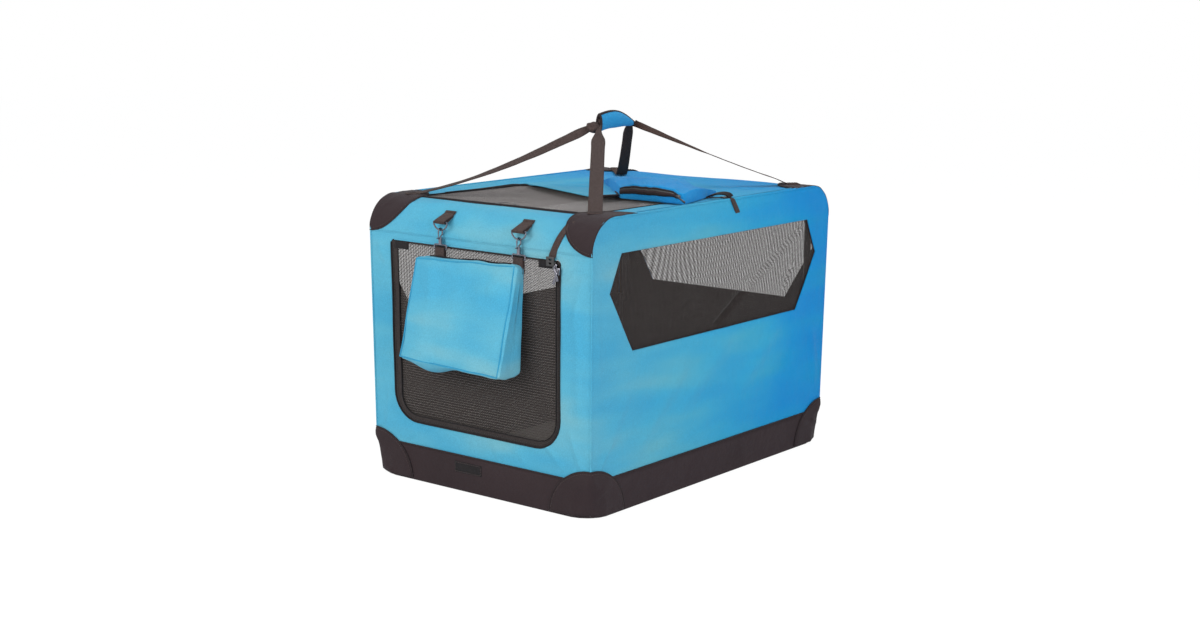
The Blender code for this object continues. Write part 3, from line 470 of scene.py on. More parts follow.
class Wiring:
    """Short calls for the nodes of a material or a world."""

    def __init__(self, owner):
        self.tree = owner.node_tree

    def node(self, kind, **values):
        made = self.tree.nodes.new(kind)
        for key, value in values.items():
            setattr(made, key, value)
        return made

    def link(self, output, node, name):
        self.tree.links.new(output, node.inputs[name])

    def maths(self, operation, *values):
        made = self.node("ShaderNodeMath", operation=operation)
        for socket, value in zip(made.inputs, values):
            if isinstance(value, (int, float)):
                socket.default_value = value
            else:
                self.tree.links.new(value, socket)
        return made.outputs[0]

    def noise(self, vector, scale, detail=2.0, roughness=0.5):
        made = self.node("ShaderNodeTexNoise")
        made.inputs["Scale"].default_value = scale
        made.inputs["Detail"].default_value = detail
        made.inputs["Roughness"].default_value = roughness
        self.link(vector, made, "Vector")
        return made.outputs["Fac"]

    def ramp(self, factor, stops):
        made = self.node("ShaderNodeValToRGB")
        band = made.color_ramp
        while len(band.elements) < len(stops):
            band.elements.new(0.5)
        for element, (place, colour) in zip(band.elements, stops):
            element.position = place
            element.color = (*colour, 1)
        self.link(factor, made, "Fac")
        return made.outputs["Color"]

    def mix(self, factor, first, second, blend="MIX"):
        made = self.node("ShaderNodeMix", data_type="RGBA", blend_type=blend)
        for socket, value in ((made.inputs[0], factor), (made.inputs[6], first), (made.inputs[7], second)):
            if isinstance(value, (int, float)):
                socket.default_value = value
            elif isinstance(value, tuple):
                socket.default_value = (*value, 1)
            else:
                self.tree.links.new(value, socket)
        return made.outputs[2]

    def bump(self, height, shader, strength, distance):
        made = self.node("ShaderNodeBump")
        made.inputs["Strength"].default_value = strength
        made.inputs["Distance"].default_value = distance
        self.link(height, made, "Height")
        self.link(made.outputs["Normal"], shader, "Normal")

    def where(self, kind="Object"):
        return self.node("ShaderNodeTexCoord").outputs[kind]

    def split(self, vector):
        made = self.node("ShaderNodeSeparateXYZ")
        self.link(vector, made, "Vector")
        return made.outputs

    def waves(self, pitch):
        """Sines across and along the flat cloth."""
        flat = self.split(self.where("UV"))
        turns = 2 * math.pi / pitch
        across = self.maths("SINE", self.maths("MULTIPLY", flat["X"], turns))
        along_it = self.maths("SINE", self.maths("MULTIPLY", flat["Y"], turns))
        return across, along_it

    def white_rays(self):
        """One for the rays that have to see plain white: straight, mirrored or let through."""
        seen = self.node("ShaderNodeLightPath").outputs
        either = self.maths("MAXIMUM", seen["Is Camera Ray"], seen["Is Glossy Ray"])
        return self.maths("MAXIMUM", either, seen["Is Transmission Ray"])

    def blend(self, share, first, second, output):
        """Mix two shaders into the output."""
        made = self.node("ShaderNodeMixShader")
        for socket, source in zip(made.inputs, (share, first, second)):
            self.tree.links.new(source, socket)
        self.link(made.outputs[0], output, "Surface")


# Painted light on the blue canvas: paler towards the front, where the key light falls, and deeper blue
# towards the rear.
LIT_GRADIENT_DRIFT = 0.5
PAINTED_LIGHT_GRADIENT = [
    (0.00, (0.088, 0.372, 0.530)), (0.30, (0.058, 0.374, 0.565)), (0.60, (0.026, 0.345, 0.600)),
    (0.82, (0.003, 0.285, 0.615)), (1.00, (0.001, 0.255, 0.600)),
]
# Painted sheen: slanting streaks, cooler and warmer-paler, that stand in for the fabric's reflection.
SHEEN_STREAK_SLANT = 0.75
SHEEN_STREAK_STRETCH = (2.0, 1.6, 6.5)
PAINTED_SHEEN_STREAKS = [(0.34, (0.68, 0.91, 1.0)), (0.50, (1.0, 1.0, 1.0)), (0.68, (1.75, 1.08, 0.93))]
FLECKS = [(0.3, (0.86, 0.86, 0.86)), (0.7, (1.0, 1.0, 1.0))]
WEAVE_SHARE = 0.012
CRUMPLE_DEPTH = 0.013


def painted_light_and_sheen(wires, cloud):
    """Painted light on the blue: paler and warmer towards the front where the key light falls, deeper blue
    towards the rear, with slanting painted sheen streaks.
    """
    drift = wires.maths("MULTIPLY_ADD", cloud, LIT_GRADIENT_DRIFT, wires.split(wires.where())["Y"])
    share = wires.maths("MULTIPLY_ADD", drift, 1 / LENGTH, 0.5 - LIT_GRADIENT_DRIFT / (2 * LENGTH))
    along_y = wires.ramp(share, PAINTED_LIGHT_GRADIENT)
    # Slanting painted sheen streaks over the painted light gradient.
    streaks = wires.node("ShaderNodeMapping")
    streaks.inputs["Rotation"].default_value = (SHEEN_STREAK_SLANT, 0.0, 0.0)
    streaks.inputs["Scale"].default_value = SHEEN_STREAK_STRETCH
    wires.link(wires.where(), streaks, "Vector")
    wear_and_sheen_noise = wires.noise(streaks.outputs["Vector"], 1.7, 2.0)
    return wires.mix(1.0, along_y, wires.ramp(wear_and_sheen_noise, PAINTED_SHEEN_STREAKS), "MULTIPLY")


def canvas(name, deep, pale, sheen, painted_light=False):
    """Plain-woven polyester: crossing yarns, uneven dye, soft crumples and a slight sheen; where asked, a
    painted light gradient and painted sheen streaks over it.
    """
    made, shader = new_material(name, deep, 0.78)
    wires = Wiring(made)
    cloud = wires.noise(wires.where(), 3.2, 3.0)
    # With painted_light, the colour is the painted light gradient, made uneven by the cloud, under painted
    # sheen streaks.
    dye_and_painted_light = painted_light_and_sheen(wires, cloud) if painted_light else wires.ramp(cloud, [(0.32, deep), (0.68, pale)])
    fleck = wires.noise(wires.where(), 420.0, 1.0)
    wires.link(wires.mix(1.0, dye_and_painted_light, wires.ramp(fleck, FLECKS), "MULTIPLY"), shader, "Base Color")
    weave = wires.maths("MULTIPLY", *wires.waves(YARN))
    crumple = wires.noise(wires.where(), 9.0, 4.0, 0.55)
    wires.bump(wires.maths("MULTIPLY_ADD", weave, WEAVE_SHARE, crumple), shader, 0.70, CRUMPLE_DEPTH)
    shader.inputs["Sheen Weight"].default_value = sheen
    shader.inputs["Sheen Roughness"].default_value = 0.4
    shader.inputs["Sheen Tint"].default_value = (0.85, 0.95, 1.0, 1)
    shader.inputs["Specular IOR Level"].default_value = 0.18
    return made


def tinted(colour, share):
    """A colour made darker or paler."""
    return tuple(channel * share for channel in colour)


def net(name, colour, closed, pitch=NET_PITCH, rows=0.0):
    """Knitted net: small holes, fewer as closed rises, and rows of loops where it has rows."""
    made, shader = new_material(name, colour, 0.8)
    wires = Wiring(made)
    if rows:
        row, column = wires.waves(rows)
        crossed = wires.maths("ADD", wires.maths("MULTIPLY", row, column), column)
        loops = wires.maths("MULTIPLY_ADD", crossed, 0.25, 0.5)
        stops = [(0.35, tinted(colour, 0.45)), (0.75, tinted(colour, 1.9))]
        wires.link(wires.ramp(loops, stops), shader, "Base Color")
    knots = wires.maths("ADD", *wires.waves(pitch))
    solid = wires.maths("MULTIPLY_ADD", knots, 0.9, closed)
    solid.node.use_clamp = True
    wires.link(solid, shader, "Alpha")
    shader.inputs["Specular IOR Level"].default_value = 0.2
    shader.inputs["Sheen Weight"].default_value = 0.15
    return made


def ribbed(name, colour, pitch, strength, roughness=0.7):
    """Webbing or tape: ribs across its length and a fine fleck."""
    made, shader = new_material(name, colour, roughness)
    wires = Wiring(made)
    across, along_it = wires.waves(pitch)
    ribs = wires.maths("ADD", wires.maths("MULTIPLY", across, along_it), along_it)
    fleck = wires.noise(wires.where(), 300.0, 1.0)
    wires.link(wires.ramp(fleck, [(0.3, colour), (0.75, tinted(colour, 1.7))]), shader, "Base Color")
    wires.bump(ribs, shader, strength, pitch / 4)
    shader.inputs["Sheen Weight"].default_value = 0.03
    shader.inputs["Specular IOR Level"].default_value = 0.12
    return made


def hard(name, colour, roughness, metallic, scuff):
    """Metal or moulded plastic with faint scuffs."""
    made, shader = new_material(name, colour, roughness, metallic)
    wires = Wiring(made)
    wear_and_sheen_noise = wires.noise(wires.where(), 60.0, 6.0, 0.65)
    wires.link(wires.maths("MULTIPLY_ADD", wear_and_sheen_noise, scuff, roughness - scuff / 2), shader, "Roughness")
    wires.bump(wires.noise(wires.where(), 900.0, 2.0), shader, 0.05, 0.0002)
    return made


def fleece():
    """Pale brushed pile of the mat."""
    made, shader = new_material("fleece", (0.42, 0.39, 0.34), 0.95)
    wires = Wiring(made)
    tufts = wires.noise(wires.where(), 170.0, 5.0, 0.7)
    stops = [(0.3, (0.30, 0.27, 0.23)), (0.7, (0.52, 0.49, 0.44))]
    wires.link(wires.ramp(tufts, stops), shader, "Base Color")
    wires.bump(tufts, shader, 0.8, 0.003)
    shader.inputs["Sheen Weight"].default_value = 0.5
    return made


# The main blue carries the painted light gradient and the painted sheen streaks.
BLUE = canvas("blue_canvas", (0.05, 0.36, 0.57), (0.05, 0.36, 0.57), 0.08, painted_light=True)
POCKET_BLUE = canvas("pocket_blue", (0.006, 0.19, 0.56), (0.014, 0.29, 0.62), 0.08)
GRIP_BLUE = canvas("grip_blue", (0.020, 0.26, 0.56), (0.034, 0.32, 0.60), 0.08)
BLUE_SEAM = canvas("blue_seam", (0.028, 0.27, 0.47), (0.04, 0.30, 0.49), 0.06)
BROWN = canvas("brown_canvas", (0.022, 0.0135, 0.016), (0.031, 0.020, 0.023), 0.03)
LINING = canvas("dark_lining", (0.018, 0.016, 0.016), (0.026, 0.023, 0.023), 0.05)
BINDING = ribbed("brown_binding", (0.018, 0.013, 0.014), 0.0014, 0.3)
WEBBING = ribbed("webbing", (0.044, 0.031, 0.029), 0.0018, 0.6, 0.9)
# Redder copy of the webbing for the rear straps, painted light: it cancels the blue light that bounces onto
# them from the roof.
WEBBING_AGAINST_BOUNCE = ribbed("webbing_against_bounce", (0.040, 0.022, 0.018), 0.0018, 0.6, 0.9)
TAPE = ribbed("zip_tape", (0.009, 0.008, 0.009), 0.0010, 0.3)
NET = net("window_net", (0.036, 0.028, 0.026), 0.66)
DOOR_NET = net("door_net", (0.058, 0.050, 0.048), 0.60, DOOR_NET_PITCH, DOOR_NET_ROWS)
HATCH_NET = net("hatch_net_cloth", (0.078, 0.066, 0.064), 1.7)
DOOR_TAPE = ribbed("door_tape", (0.024, 0.020, 0.020), 0.0024, 0.5)
THREAD_DARK = ribbed("dark_thread", (0.045, 0.034, 0.034), 0.0006, 0.2)
COIL = hard("zip_coil", (0.012, 0.012, 0.013), 0.35, 0.0, 0.1)
STEEL = hard("painted_steel", (0.016, 0.016, 0.018), 0.38, 0.3, 0.2)
PLATED = hard("plated_steel", (0.17, 0.17, 0.20), 0.26, 1.0, 0.2)
GUNMETAL = hard("dark_plated_steel", (0.06, 0.06, 0.065), 0.34, 0.9, 0.2)
PLASTIC = hard("black_plastic", (0.014, 0.014, 0.015), 0.42, 0.0, 0.15)
FLEECE = fleece()


# How the pieces move

LEAST_KEEP = 0.02


def keep_share(high, anchor, drop):
    """Share of its height that cloth keeps when its top comes down by a drop."""
    return max((high - drop - anchor) / (high - anchor), LEAST_KEEP)


def fold_down(piece, high, body="base"):
    """Cloth of the walls: stays on its body, with a mesh of its own."""
    ride_on(piece, body)
    keep = keep_share(high, BAND_TOP, FOLD_DROP)
    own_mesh(piece)
    return piece


def ride_on(piece, body):
    """Fix a piece to a body."""
    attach(piece, body)
    return piece


# Base

BAND_CORNER = 0.014
WALL_CORNER = 0.004
BAND_FOOT = 0.006
BAND_GRID = 0.02
BAND_ROWS = 7
BAND_THICKNESS = 0.0025
BAND_OUT = 1.004
PIPING = 0.0017
BAND_PATCH_WIDTH = 0.110
BAND_PATCH_HEIGHT = 0.108
BAND_PATCH_PROUD = 0.0016
CORNER_REACH = 0.050
CORNER_DRAW = 0.010
FOOT_DRAW = 0.007
BAND_WAVES = (0.06, 0.0012, 3.0)
BAND_PATCH_PUFF = 0.0025
BAND_PATCH_GRID = 0.005
BAND_PATCH_STITCHES_OUT = 0.003
PATCH_PUCKERS = (
    ((0.006, 0.045), (0.040, 0.062), 0.006, 0.0035),
    ((-0.006, 0.020), (-0.050, 0.012), 0.008, 0.002),
)
LABEL_MIDDLE = -0.032
LABEL_PROUD = 0.0022
LABEL_FOOT = 0.044
LABEL_HEAD = 0.068
LABEL_WIDTH = 0.080
LABEL_RIM = [(-0.070, 0.046), (0.006, 0.046), (0.006, 0.066), (-0.070, 0.066)]
MAT_CUTS = 31
MAT_DRAWN = 0.012
MAT_FLANK = 0.55
MAT_WAVES = (0.35, 0.0012, 9.0)


def soften_corners(point):
    """Draw the band's corners in towards the foot, where the cloth has nothing stiff behind it."""
    low = max(0.0, 1 - point.z / WALL_FOOT)
    near_x = max(0.0, 1 - (HALF_WIDTH - abs(point.x)) / CORNER_REACH)
    near_y = max(0.0, 1 - (HALF_LENGTH - abs(point.y)) / CORNER_REACH)
    draw = CORNER_DRAW * near_x * near_y * low ** 0.6
    made = Vector(point)
    made.x -= math.copysign(draw, point.x)
    made.y -= math.copysign(draw, point.y)
    made.z += FOOT_DRAW * near_x * near_y * low ** 2
    return made


def base_band():
    """Dark base: floor and upright band in one piece of canvas, with bound upper edge."""
    low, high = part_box("base_tray")
    bm = unit_box()
    bmesh.ops.scale(bm, vec=high - low, verts=bm.verts)
    bmesh.ops.translate(bm, vec=(low + high) / 2, verts=bm.verts)
    upright = [e for e in bm.edges if abs(e.verts[0].co.z - e.verts[1].co.z) > BAND_TOP / 2]
    bevel(bm, upright, BAND_CORNER, 6)
    lid = [f for f in bm.faces if f.normal.z > 0.9]
    bmesh.ops.delete(bm, geom=lid, context="FACES")
    foot = [e for e in bm.edges if max(v.co.z for v in e.verts) < BAND_TOP / 9]
    bevel(bm, foot, BAND_FOOT, 3)
    for axis, half in enumerate((HALF_WIDTH, HALF_LENGTH)):
        normal = Vector((axis == 0, axis == 1, 0))
        count = round(2 * half / BAND_GRID)
        for i in range(1, count):
            cut(bm, normal * (2 * half * i / count - half), normal)
    for i in range(1, BAND_ROWS):
        cut(bm, (0, 0, BAND_TOP * i / BAND_ROWS), (0, 0, 1))
    for vert in bm.verts:
        if vert.co.z > BAND_FOOT:
            around = vert.co.x + vert.co.y
            pull = slack(around, vert.co.z, *BAND_WAVES)
            rise = math.sin(math.pi * vert.co.z / BAND_TOP)
            outward = Vector((vert.co.x / HALF_WIDTH ** 2, vert.co.y / HALF_LENGTH ** 2, 0)).normalized()
            vert.co += outward * pull * rise
    lean_in(bm)
    for vert in bm.verts:
        vert.co = soften_corners(vert.co)
    piece = as_object("base_band", bm, BROWN, LINING)
    thicken(piece, BAND_THICKNESS, 1)
    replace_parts(ride_on(piece, "base"), "base_tray")
    share_x, share_y = side_at(BAND_TOP) / HALF_WIDTH, end_at(BAND_TOP) / HALF_LENGTH
    corner = (HALF_WIDTH, HALF_LENGTH)
    binding = []
    for x, y in rounded_box((-HALF_WIDTH, -HALF_LENGTH), corner, BAND_CORNER, BAND_CORNER):
        binding.append((x * share_x * BAND_OUT, y * share_y * BAND_OUT, BAND_TOP))
    edge = tube("band_binding", [soften_corners(Vector(p)) for p in binding], PIPING, BINDING, closed=True)
    ride_on(edge, "base")


def lean_in(bm):
    """Draw points in towards the foot, as the cabin's walls lean."""
    for vert in bm.verts:
        z = vert.co.z
        vert.co.x *= side_at(z) / side_at(BAND_TOP)
        vert.co.y *= end_at(z) / end_at(BAND_TOP)


def round_corner(side, end):
    """Wrap cloth round a bottom corner: u along the walls from the corner, v up."""
    def place(u, v, out=0.0):
        above = min(1.0, max(0.0, (v - BAND_TOP + TUCK) / (2 * TUCK)))
        radius = BAND_CORNER + (WALL_CORNER - BAND_CORNER) * above
        quarter = radius * math.pi / 2
        half_x, half_y = side_at(v) + PROUD, end_at(v) + PROUD
        reach = radius + out
        if u > quarter / 2:
            point = Vector((half_x + out, half_y - radius - (u - quarter / 2), v))
        elif u < -quarter / 2:
            point = Vector((half_x - radius + (u + quarter / 2), half_y + out, v))
        else:
            turn = math.pi / 4 - u / radius
            x = half_x - radius + reach * math.cos(turn)
            point = Vector((x, half_y - radius + reach * math.sin(turn), v))
        return soften_corners(Vector((side * point.x, end * point.y, point.z)))
    return place


def band_patches():
    """Rounded reinforcing patches over the four bottom corners."""
    for side, end, tag in CORNERS:
        bm = flat_cloth(2 * BAND_PATCH_WIDTH, BAND_FOOT, BAND_PATCH_HEIGHT, BAND_PATCH_GRID)
        outline = arc((0, 0), (BAND_PATCH_WIDTH, BAND_PATCH_HEIGHT), 0, 180, 20)
        trim(bm, outline, True)
        place = round_corner(side, end)

        def relief(u, v):
            rim = 1 - (u / BAND_PATCH_WIDTH) ** 2 - (v / BAND_PATCH_HEIGHT) ** 2
            edge = min(1.0, max(0.0, rim * 5))
            full = BAND_PATCH_PUFF + sum(ridge(u, v, *pucker) for pucker in PATCH_PUCKERS)
            return BAND_PATCH_PROUD + edge * (full + slack(u, v, 0.03, 0.0015, 7.0 + side + end))

        piece = cloth("band_patch_" + tag, bm, place, relief, [BROWN])
        if side * end > 0:
            piece.data.flip_normals()
        ride_on(piece, "base")
        rim = arc((0, 0), (BAND_PATCH_WIDTH, BAND_PATCH_HEIGHT), 4, 176, 36)
        points = [place(u, v, BAND_PATCH_PROUD) for u, v in rim]
        ride_on(tube("band_patch_piping_" + tag, points, PATCH_PIPING, BINDING), "base")
        inside = (BAND_PATCH_WIDTH - PATCH_SEAM_IN, BAND_PATCH_HEIGHT - PATCH_SEAM_IN)
        line = [(arc((0, 0), inside, 6, 174, 36), False)]
        seam = stitches("band_patch_stitches_" + tag, line, place, THREAD_DARK, BAND_PATCH_STITCHES_OUT)
        ride_on(seam, "base")


def blank_label():
    """Plain woven patch on the front band, with nothing on it."""
    bm = flat_cloth(LABEL_WIDTH, LABEL_FOOT, LABEL_HEAD, 0.004, LABEL_MIDDLE)
    place = on_end(-1)
    patch = cloth("band_label", bm, place, lambda u, v: LABEL_PROUD, [TAPE], thickness=0.0008)
    ride_on(patch, "base")
    seam = stitches("band_label_stitches", [(LABEL_RIM, True)], place, THREAD_DARK, 0.0024)
    ride_on(seam, "base")


def mat():
    """Fleece mat: crowned, with drawn-in sides and a tufted pile."""
    low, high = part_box("floor_mat")
    bm = unit_box()
    bmesh.ops.subdivide_edges(bm, edges=bm.edges[:], cuts=MAT_CUTS, use_grid_fill=True)
    size, centre = high - low, (low + high) / 2
    for vert in bm.verts:
        x, y, z = vert.co * 2
        crown = (1 - x ** 6) * (1 - y ** 6)
        lift = z * (MAT_FLANK + (1 - MAT_FLANK) * crown) if z > 0 else z * 0.98
        drawn = 1 - MAT_DRAWN * math.cos(math.pi * min(abs(x), abs(y)) / 2)
        ripple = slack(x, y, *MAT_WAVES) * crown
        spot = Vector((x * drawn * size.x, y * drawn * size.y, lift * size.z)) / 2
        vert.co = spot + centre + Vector((0, 0, ripple if z > 0 else 0))
    piece = as_object("mat", bm, FLEECE)
    step = piece.modifiers.new("Smooth", "SUBSURF")
    step.levels = step.render_levels = 1
    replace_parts(ride_on(piece, "base"), "floor_mat")


# Walls

END_WAVES = (0.11, 0.0016)
END_BELLY = 0.0014
SIDE_WAVES = (0.13, 0.002)
SIDE_BELLY = 0.002
NET_WAVES = (0.09, 0.002)
WINDOW_EDGE = 0.0012
WINDOW_EDGE_PITCH = 0.03
FRONT_FOLDS = (
    ((0.190, 0.151), (0.250, 0.092), 0.006, 0.0036),
    ((0.109, 0.122), (0.135, 0.094), 0.005, 0.0024),
    ((0.255, 0.190), (0.296, 0.098), 0.006, 0.0036),
    ((0.244, 0.500), (0.306, 0.545), 0.006, 0.0030),
    ((0.262, 0.400), (0.296, 0.525), 0.008, 0.0030),
    ((0.284, 0.180), (0.278, 0.460), 0.012, 0.0034),
    ((0.302, 0.150), (0.303, 0.520), 0.005, 0.0020),
    ((-0.300, 0.545), (-0.265, 0.480), 0.007, 0.0034),
    ((-0.285, 0.100), (-0.262, 0.230), 0.008, 0.0032),
    ((-0.180, 0.128), (-0.215, 0.096), 0.006, 0.0024),
    ((-0.020, 0.128), (-0.010, 0.092), 0.007, 0.0020),
    ((0.040, 0.128), (0.060, 0.094), 0.006, 0.0018),
)
SIDE_FOLDS = (
    ((-0.385, 0.165), (-0.440, 0.096), 0.007, 0.0040),
    ((-0.449, 0.500), (-0.432, 0.230), 0.010, 0.0034),
    ((-0.310, 0.110), (-0.120, 0.290), 0.020, 0.0052),
    ((-0.410, 0.140), (-0.330, 0.270), 0.015, 0.0044),
    ((-0.150, 0.180), (0.060, 0.330), 0.024, 0.0056),
    ((0.080, 0.180), (0.260, 0.330), 0.020, 0.0044),
    ((0.400, 0.300), (0.430, 0.140), 0.014, 0.0034),
    ((-0.400, 0.585), (0.330, 0.592), 0.014, 0.0040),
)


NET_CREASES = (
    ((0.350, 0.545), (0.112, 0.425), 0.006, 0.0100),
    ((0.112, 0.425), (-0.020, 0.350), 0.006, 0.0080),
    ((0.316, 0.461), (0.267, 0.395), 0.005, 0.0060),
)


def hem_fade(u, v, half, low, high):
    """Nought at the sewn edges of a sheet, one inside it."""
    near = min(half - abs(u), v - low, high - v)
    return min(1.0, max(0.0, near / HEM_RUN))


def wall(tag, bm, place, half, high, folds, belly, waves):
    """Hang a wall's cloth, with its folds, its belly and its waves."""
    def relief(u, v):
        full = sum(ridge(u, v, *fold) for fold in folds)
        full += belly * math.sin(math.pi * (v - WALL_FOOT) / (high - WALL_FOOT))
        return hem_fade(u, v, half, WALL_FOOT, high) * (full + slack(u, v, *waves))

    piece = cloth("cabin_" + tag, bm, place, relief, [BLUE, LINING], lining=1)
    fold_down(piece, high)
    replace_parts(piece, "wall_" + tag)
    declare_sheet(piece)


def end_walls():
    """Front wall round its doorway, and rear wall round its window."""
    for (facing, tag), hole in zip(ENDS, (door_outline(), rear_window())):
        bm = flat_cloth(2 * HALF_WIDTH, WALL_FOOT, SHOULDER, GRID)
        trim(bm, hole, False)
        waves = (*END_WAVES, 1.0 + facing)
        wall(tag, bm, on_end(facing), HALF_WIDTH, SHOULDER, FRONT_FOLDS, END_BELLY, waves)


def side_walls():
    """Long walls round their windows, with rounded top corners and piped edges."""
    outline = [(-HALF_LENGTH, BAND_PATCH_HEIGHT)]
    outline += list(reversed(arc((-END_CENTRE, SHOULDER), END_RADIUS, 90, 180, 12)))
    outline += list(reversed(arc((END_CENTRE, SHOULDER), END_RADIUS, 0, 90, 12)))
    outline += [(HALF_LENGTH, BAND_PATCH_HEIGHT)]
    for facing, tag in SIDES:
        bm = flat_cloth(2 * HALF_LENGTH, WALL_FOOT, HEIGHT, GRID)
        trim(bm, side_wall_outline(), True)
        trim(bm, side_window(), False)
        waves = (*SIDE_WAVES, 5.0 + facing)
        place = on_side(facing)
        wall(tag, bm, place, HALF_LENGTH, HEIGHT, SIDE_FOLDS, SIDE_BELLY, waves)
        points = [place(u, v, -SEAM_ROLL / 2) for u, v in spaced_flat(outline, SEAM_PITCH)]
        fold_down(tube("side_seam_" + tag, points, SEAM_ROLL, BLUE), HEIGHT)


def window_net(tag, place, outline, width, high, seed, creases=()):
    """Net behind a window, a little slack, with the creases it was packed with."""
    bm = flat_cloth(width + 2 * NET_LAP, outline[0][1], outline[3][1], GRID)
    trim(bm, outline, True)

    def relief(u, v):
        drawn = sum(ridge(u, v, *crease) for crease in creases)
        return slack(u, v, *NET_WAVES, seed) - NET_DEPTH - drawn

    piece = cloth("net_" + tag, bm, place, relief, [NET], thickness=0)
    fold_down(piece, high)
    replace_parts(piece, "window_" + tag)
    declare_sheet(piece)


def windows():
    """Every window's net, creased at the right side only, and then their dark edges."""
    nets = []
    for facing, tag in SIDES:
        creases = NET_CREASES if facing > 0 else ()
        place = on_side(facing)
        window_net(tag, place, side_window(NET_LAP), SIDE_WINDOW_MIDDLE, HEIGHT, 11.0 + facing, creases)
        nets.append((tag, place, side_window(), HEIGHT))
    window_net("rear", on_end(1), rear_window(NET_LAP), REAR_WINDOW_MIDDLE, SHOULDER, 15.0)
    nets.append(("rear", on_end(1), rear_window(), SHOULDER))
    for tag, place, outline, high in nets:
        points = [place(u, v, -CANVAS) for u, v in closed_flat(outline, WINDOW_EDGE_PITCH)]
        edge = tube("window_edge_" + tag, points, WINDOW_EDGE, BINDING, closed=True)
        fold_down(edge, high)


# Door

DOOR_WAVES = (0.07, 0.0035, 21.0)
DOOR_WAVE_SHARE = 0.4
DOOR_TAB_PROUD = 0.0022
DOOR_TAB_THICKNESS = 0.001
DOOR_PIPING_SHARES = (1.3, 0.7)
DOOR_TAB = 0.020
DOOR_RIGHT_BORDER = 0.009
DOOR_TOP_BORDER = 0.0018
DOOR_FOOT_TRIM = 0.006
DOOR_TOP_CLEAR = 0.004
DOOR_SEAM = 0.0019
DOOR_ZIP_IN = 0.006
DOOR_TABS = (("left", -0.242, -0.198), ("right", 0.176, 0.213))
DOOR_WIDTH = DOOR_HIGH_CORNER.x - DOOR_LOW_CORNER.x
DOOR_MIDDLE = (DOOR_LOW_CORNER.x + DOOR_HIGH_CORNER.x) / 2


def door_inside():
    """Inner edge of the door's border: wide at the left and the foot, a seam at the top."""
    made = []
    gap = Vector((1, 0, 1)) * DOOR_GAP
    low, high = DOOR_LOW_CORNER + gap, DOOR_HIGH_CORNER - gap
    for u, v in door_outline(DOOR_GAP + DOOR_BORDER):
        from_right = (u - low.x) / (high.x - low.x)
        from_top = (v - low.z) / (high.z - low.z)
        made.append((
            u + (DOOR_BORDER - DOOR_RIGHT_BORDER) * from_right ** 3,
            v + (DOOR_BORDER - DOOR_TOP_BORDER) * from_top ** 3 - DOOR_FOOT_TRIM * (1 - from_top) ** 3,
        ))
    return made


def below_top(points, level):
    """The run of a closed outline that lies below a level, in order."""
    high = [v > level for u, v in points]
    start = next(i for i in range(len(points)) if high[i - 1] and not high[i])
    turned = points[start:] + points[:start]
    return [spot for spot in turned if spot[1] <= level]


def door_wave(u, v):
    """The door's cloth hangs slightly wavy in its doorway."""
    fade = hem_fade(u, v, HALF_WIDTH, 0, DOOR_HIGH_CORNER.z)
    return fade * slack(u, v, *DOOR_WAVES) * DOOR_WAVE_SHARE


def door():
    """Net door in a bound border, with its zip line and corner tabs."""
    top = DOOR_HIGH_CORNER.z
    foot, head = DOOR_LOW_CORNER.z - DOOR_GAP, top + DOOR_GAP
    place = on_end(-1)
    border = flat_cloth(DOOR_WIDTH + DOOR_GAP, foot, head, GRID, DOOR_MIDDLE)
    trim(border, door_outline(DOOR_GAP), True)
    trim(border, door_inside(), False)
    piece = cloth("door_edge", border, place, door_wave, [DOOR_TAPE])
    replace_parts(fold_down(piece, top, "door"), "door_border")
    sheet = flat_cloth(DOOR_WIDTH, foot, head, GRID, DOOR_MIDDLE)
    trim(sheet, door_outline(DOOR_GAP + DOOR_TOP_BORDER / 2), True)

    def behind(u, v):
        return door_wave(u, v) - CANVAS * 1.5

    netting = cloth("door_panel", sheet, place, behind, [DOOR_NET], thickness=0)
    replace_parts(fold_down(netting, top, "door"), "door_net")
    declare_sheet(netting)
    edges = (("outer", door_outline(DOOR_GAP)), ("inner", door_inside()))
    for (tag, edge), share in zip(edges, DOOR_PIPING_SHARES):
        run = below_top(spaced_flat(edge, SEAM_PITCH), max(v for u, v in edge) - DOOR_TOP_CLEAR)
        points = [place(u, v, door_wave(u, v) + 0.0006) for u, v in run]
        fold_down(tube("door_piping_" + tag, points, PIPING * share, TAPE), top, "door")
    left, across = DOOR_LOW_CORNER.x + DOOR_TOP_CORNER, DOOR_WIDTH - 2 * DOOR_TOP_CORNER
    seam = [place(left + across * i / 30, top, 0.0004) for i in range(31)]
    fold_down(tube("door_top_seam", seam, DOOR_SEAM, BLUE), SHOULDER)

    def over(u, v, out):
        return place(u, v, door_wave(u, v) + out)

    zip_run = door_outline(DOOR_GAP + DOOR_ZIP_IN)
    rows = stitches("door_zip_teeth", [(zip_run, True)], over, COIL, 0.0006)
    fold_down(rows, top, "door")
    for tag, left, right in DOOR_TABS:
        tab = flat_cloth(right - left, top - DOOR_TAB, top - DOOR_GAP, GRID, (left + right) / 2)
        square = cloth("door_tab_" + tag, tab, place, lambda u, v: DOOR_TAB_PROUD, [TAPE], DOOR_TAB_THICKNESS)
        fold_down(square, top, "door")


# Top

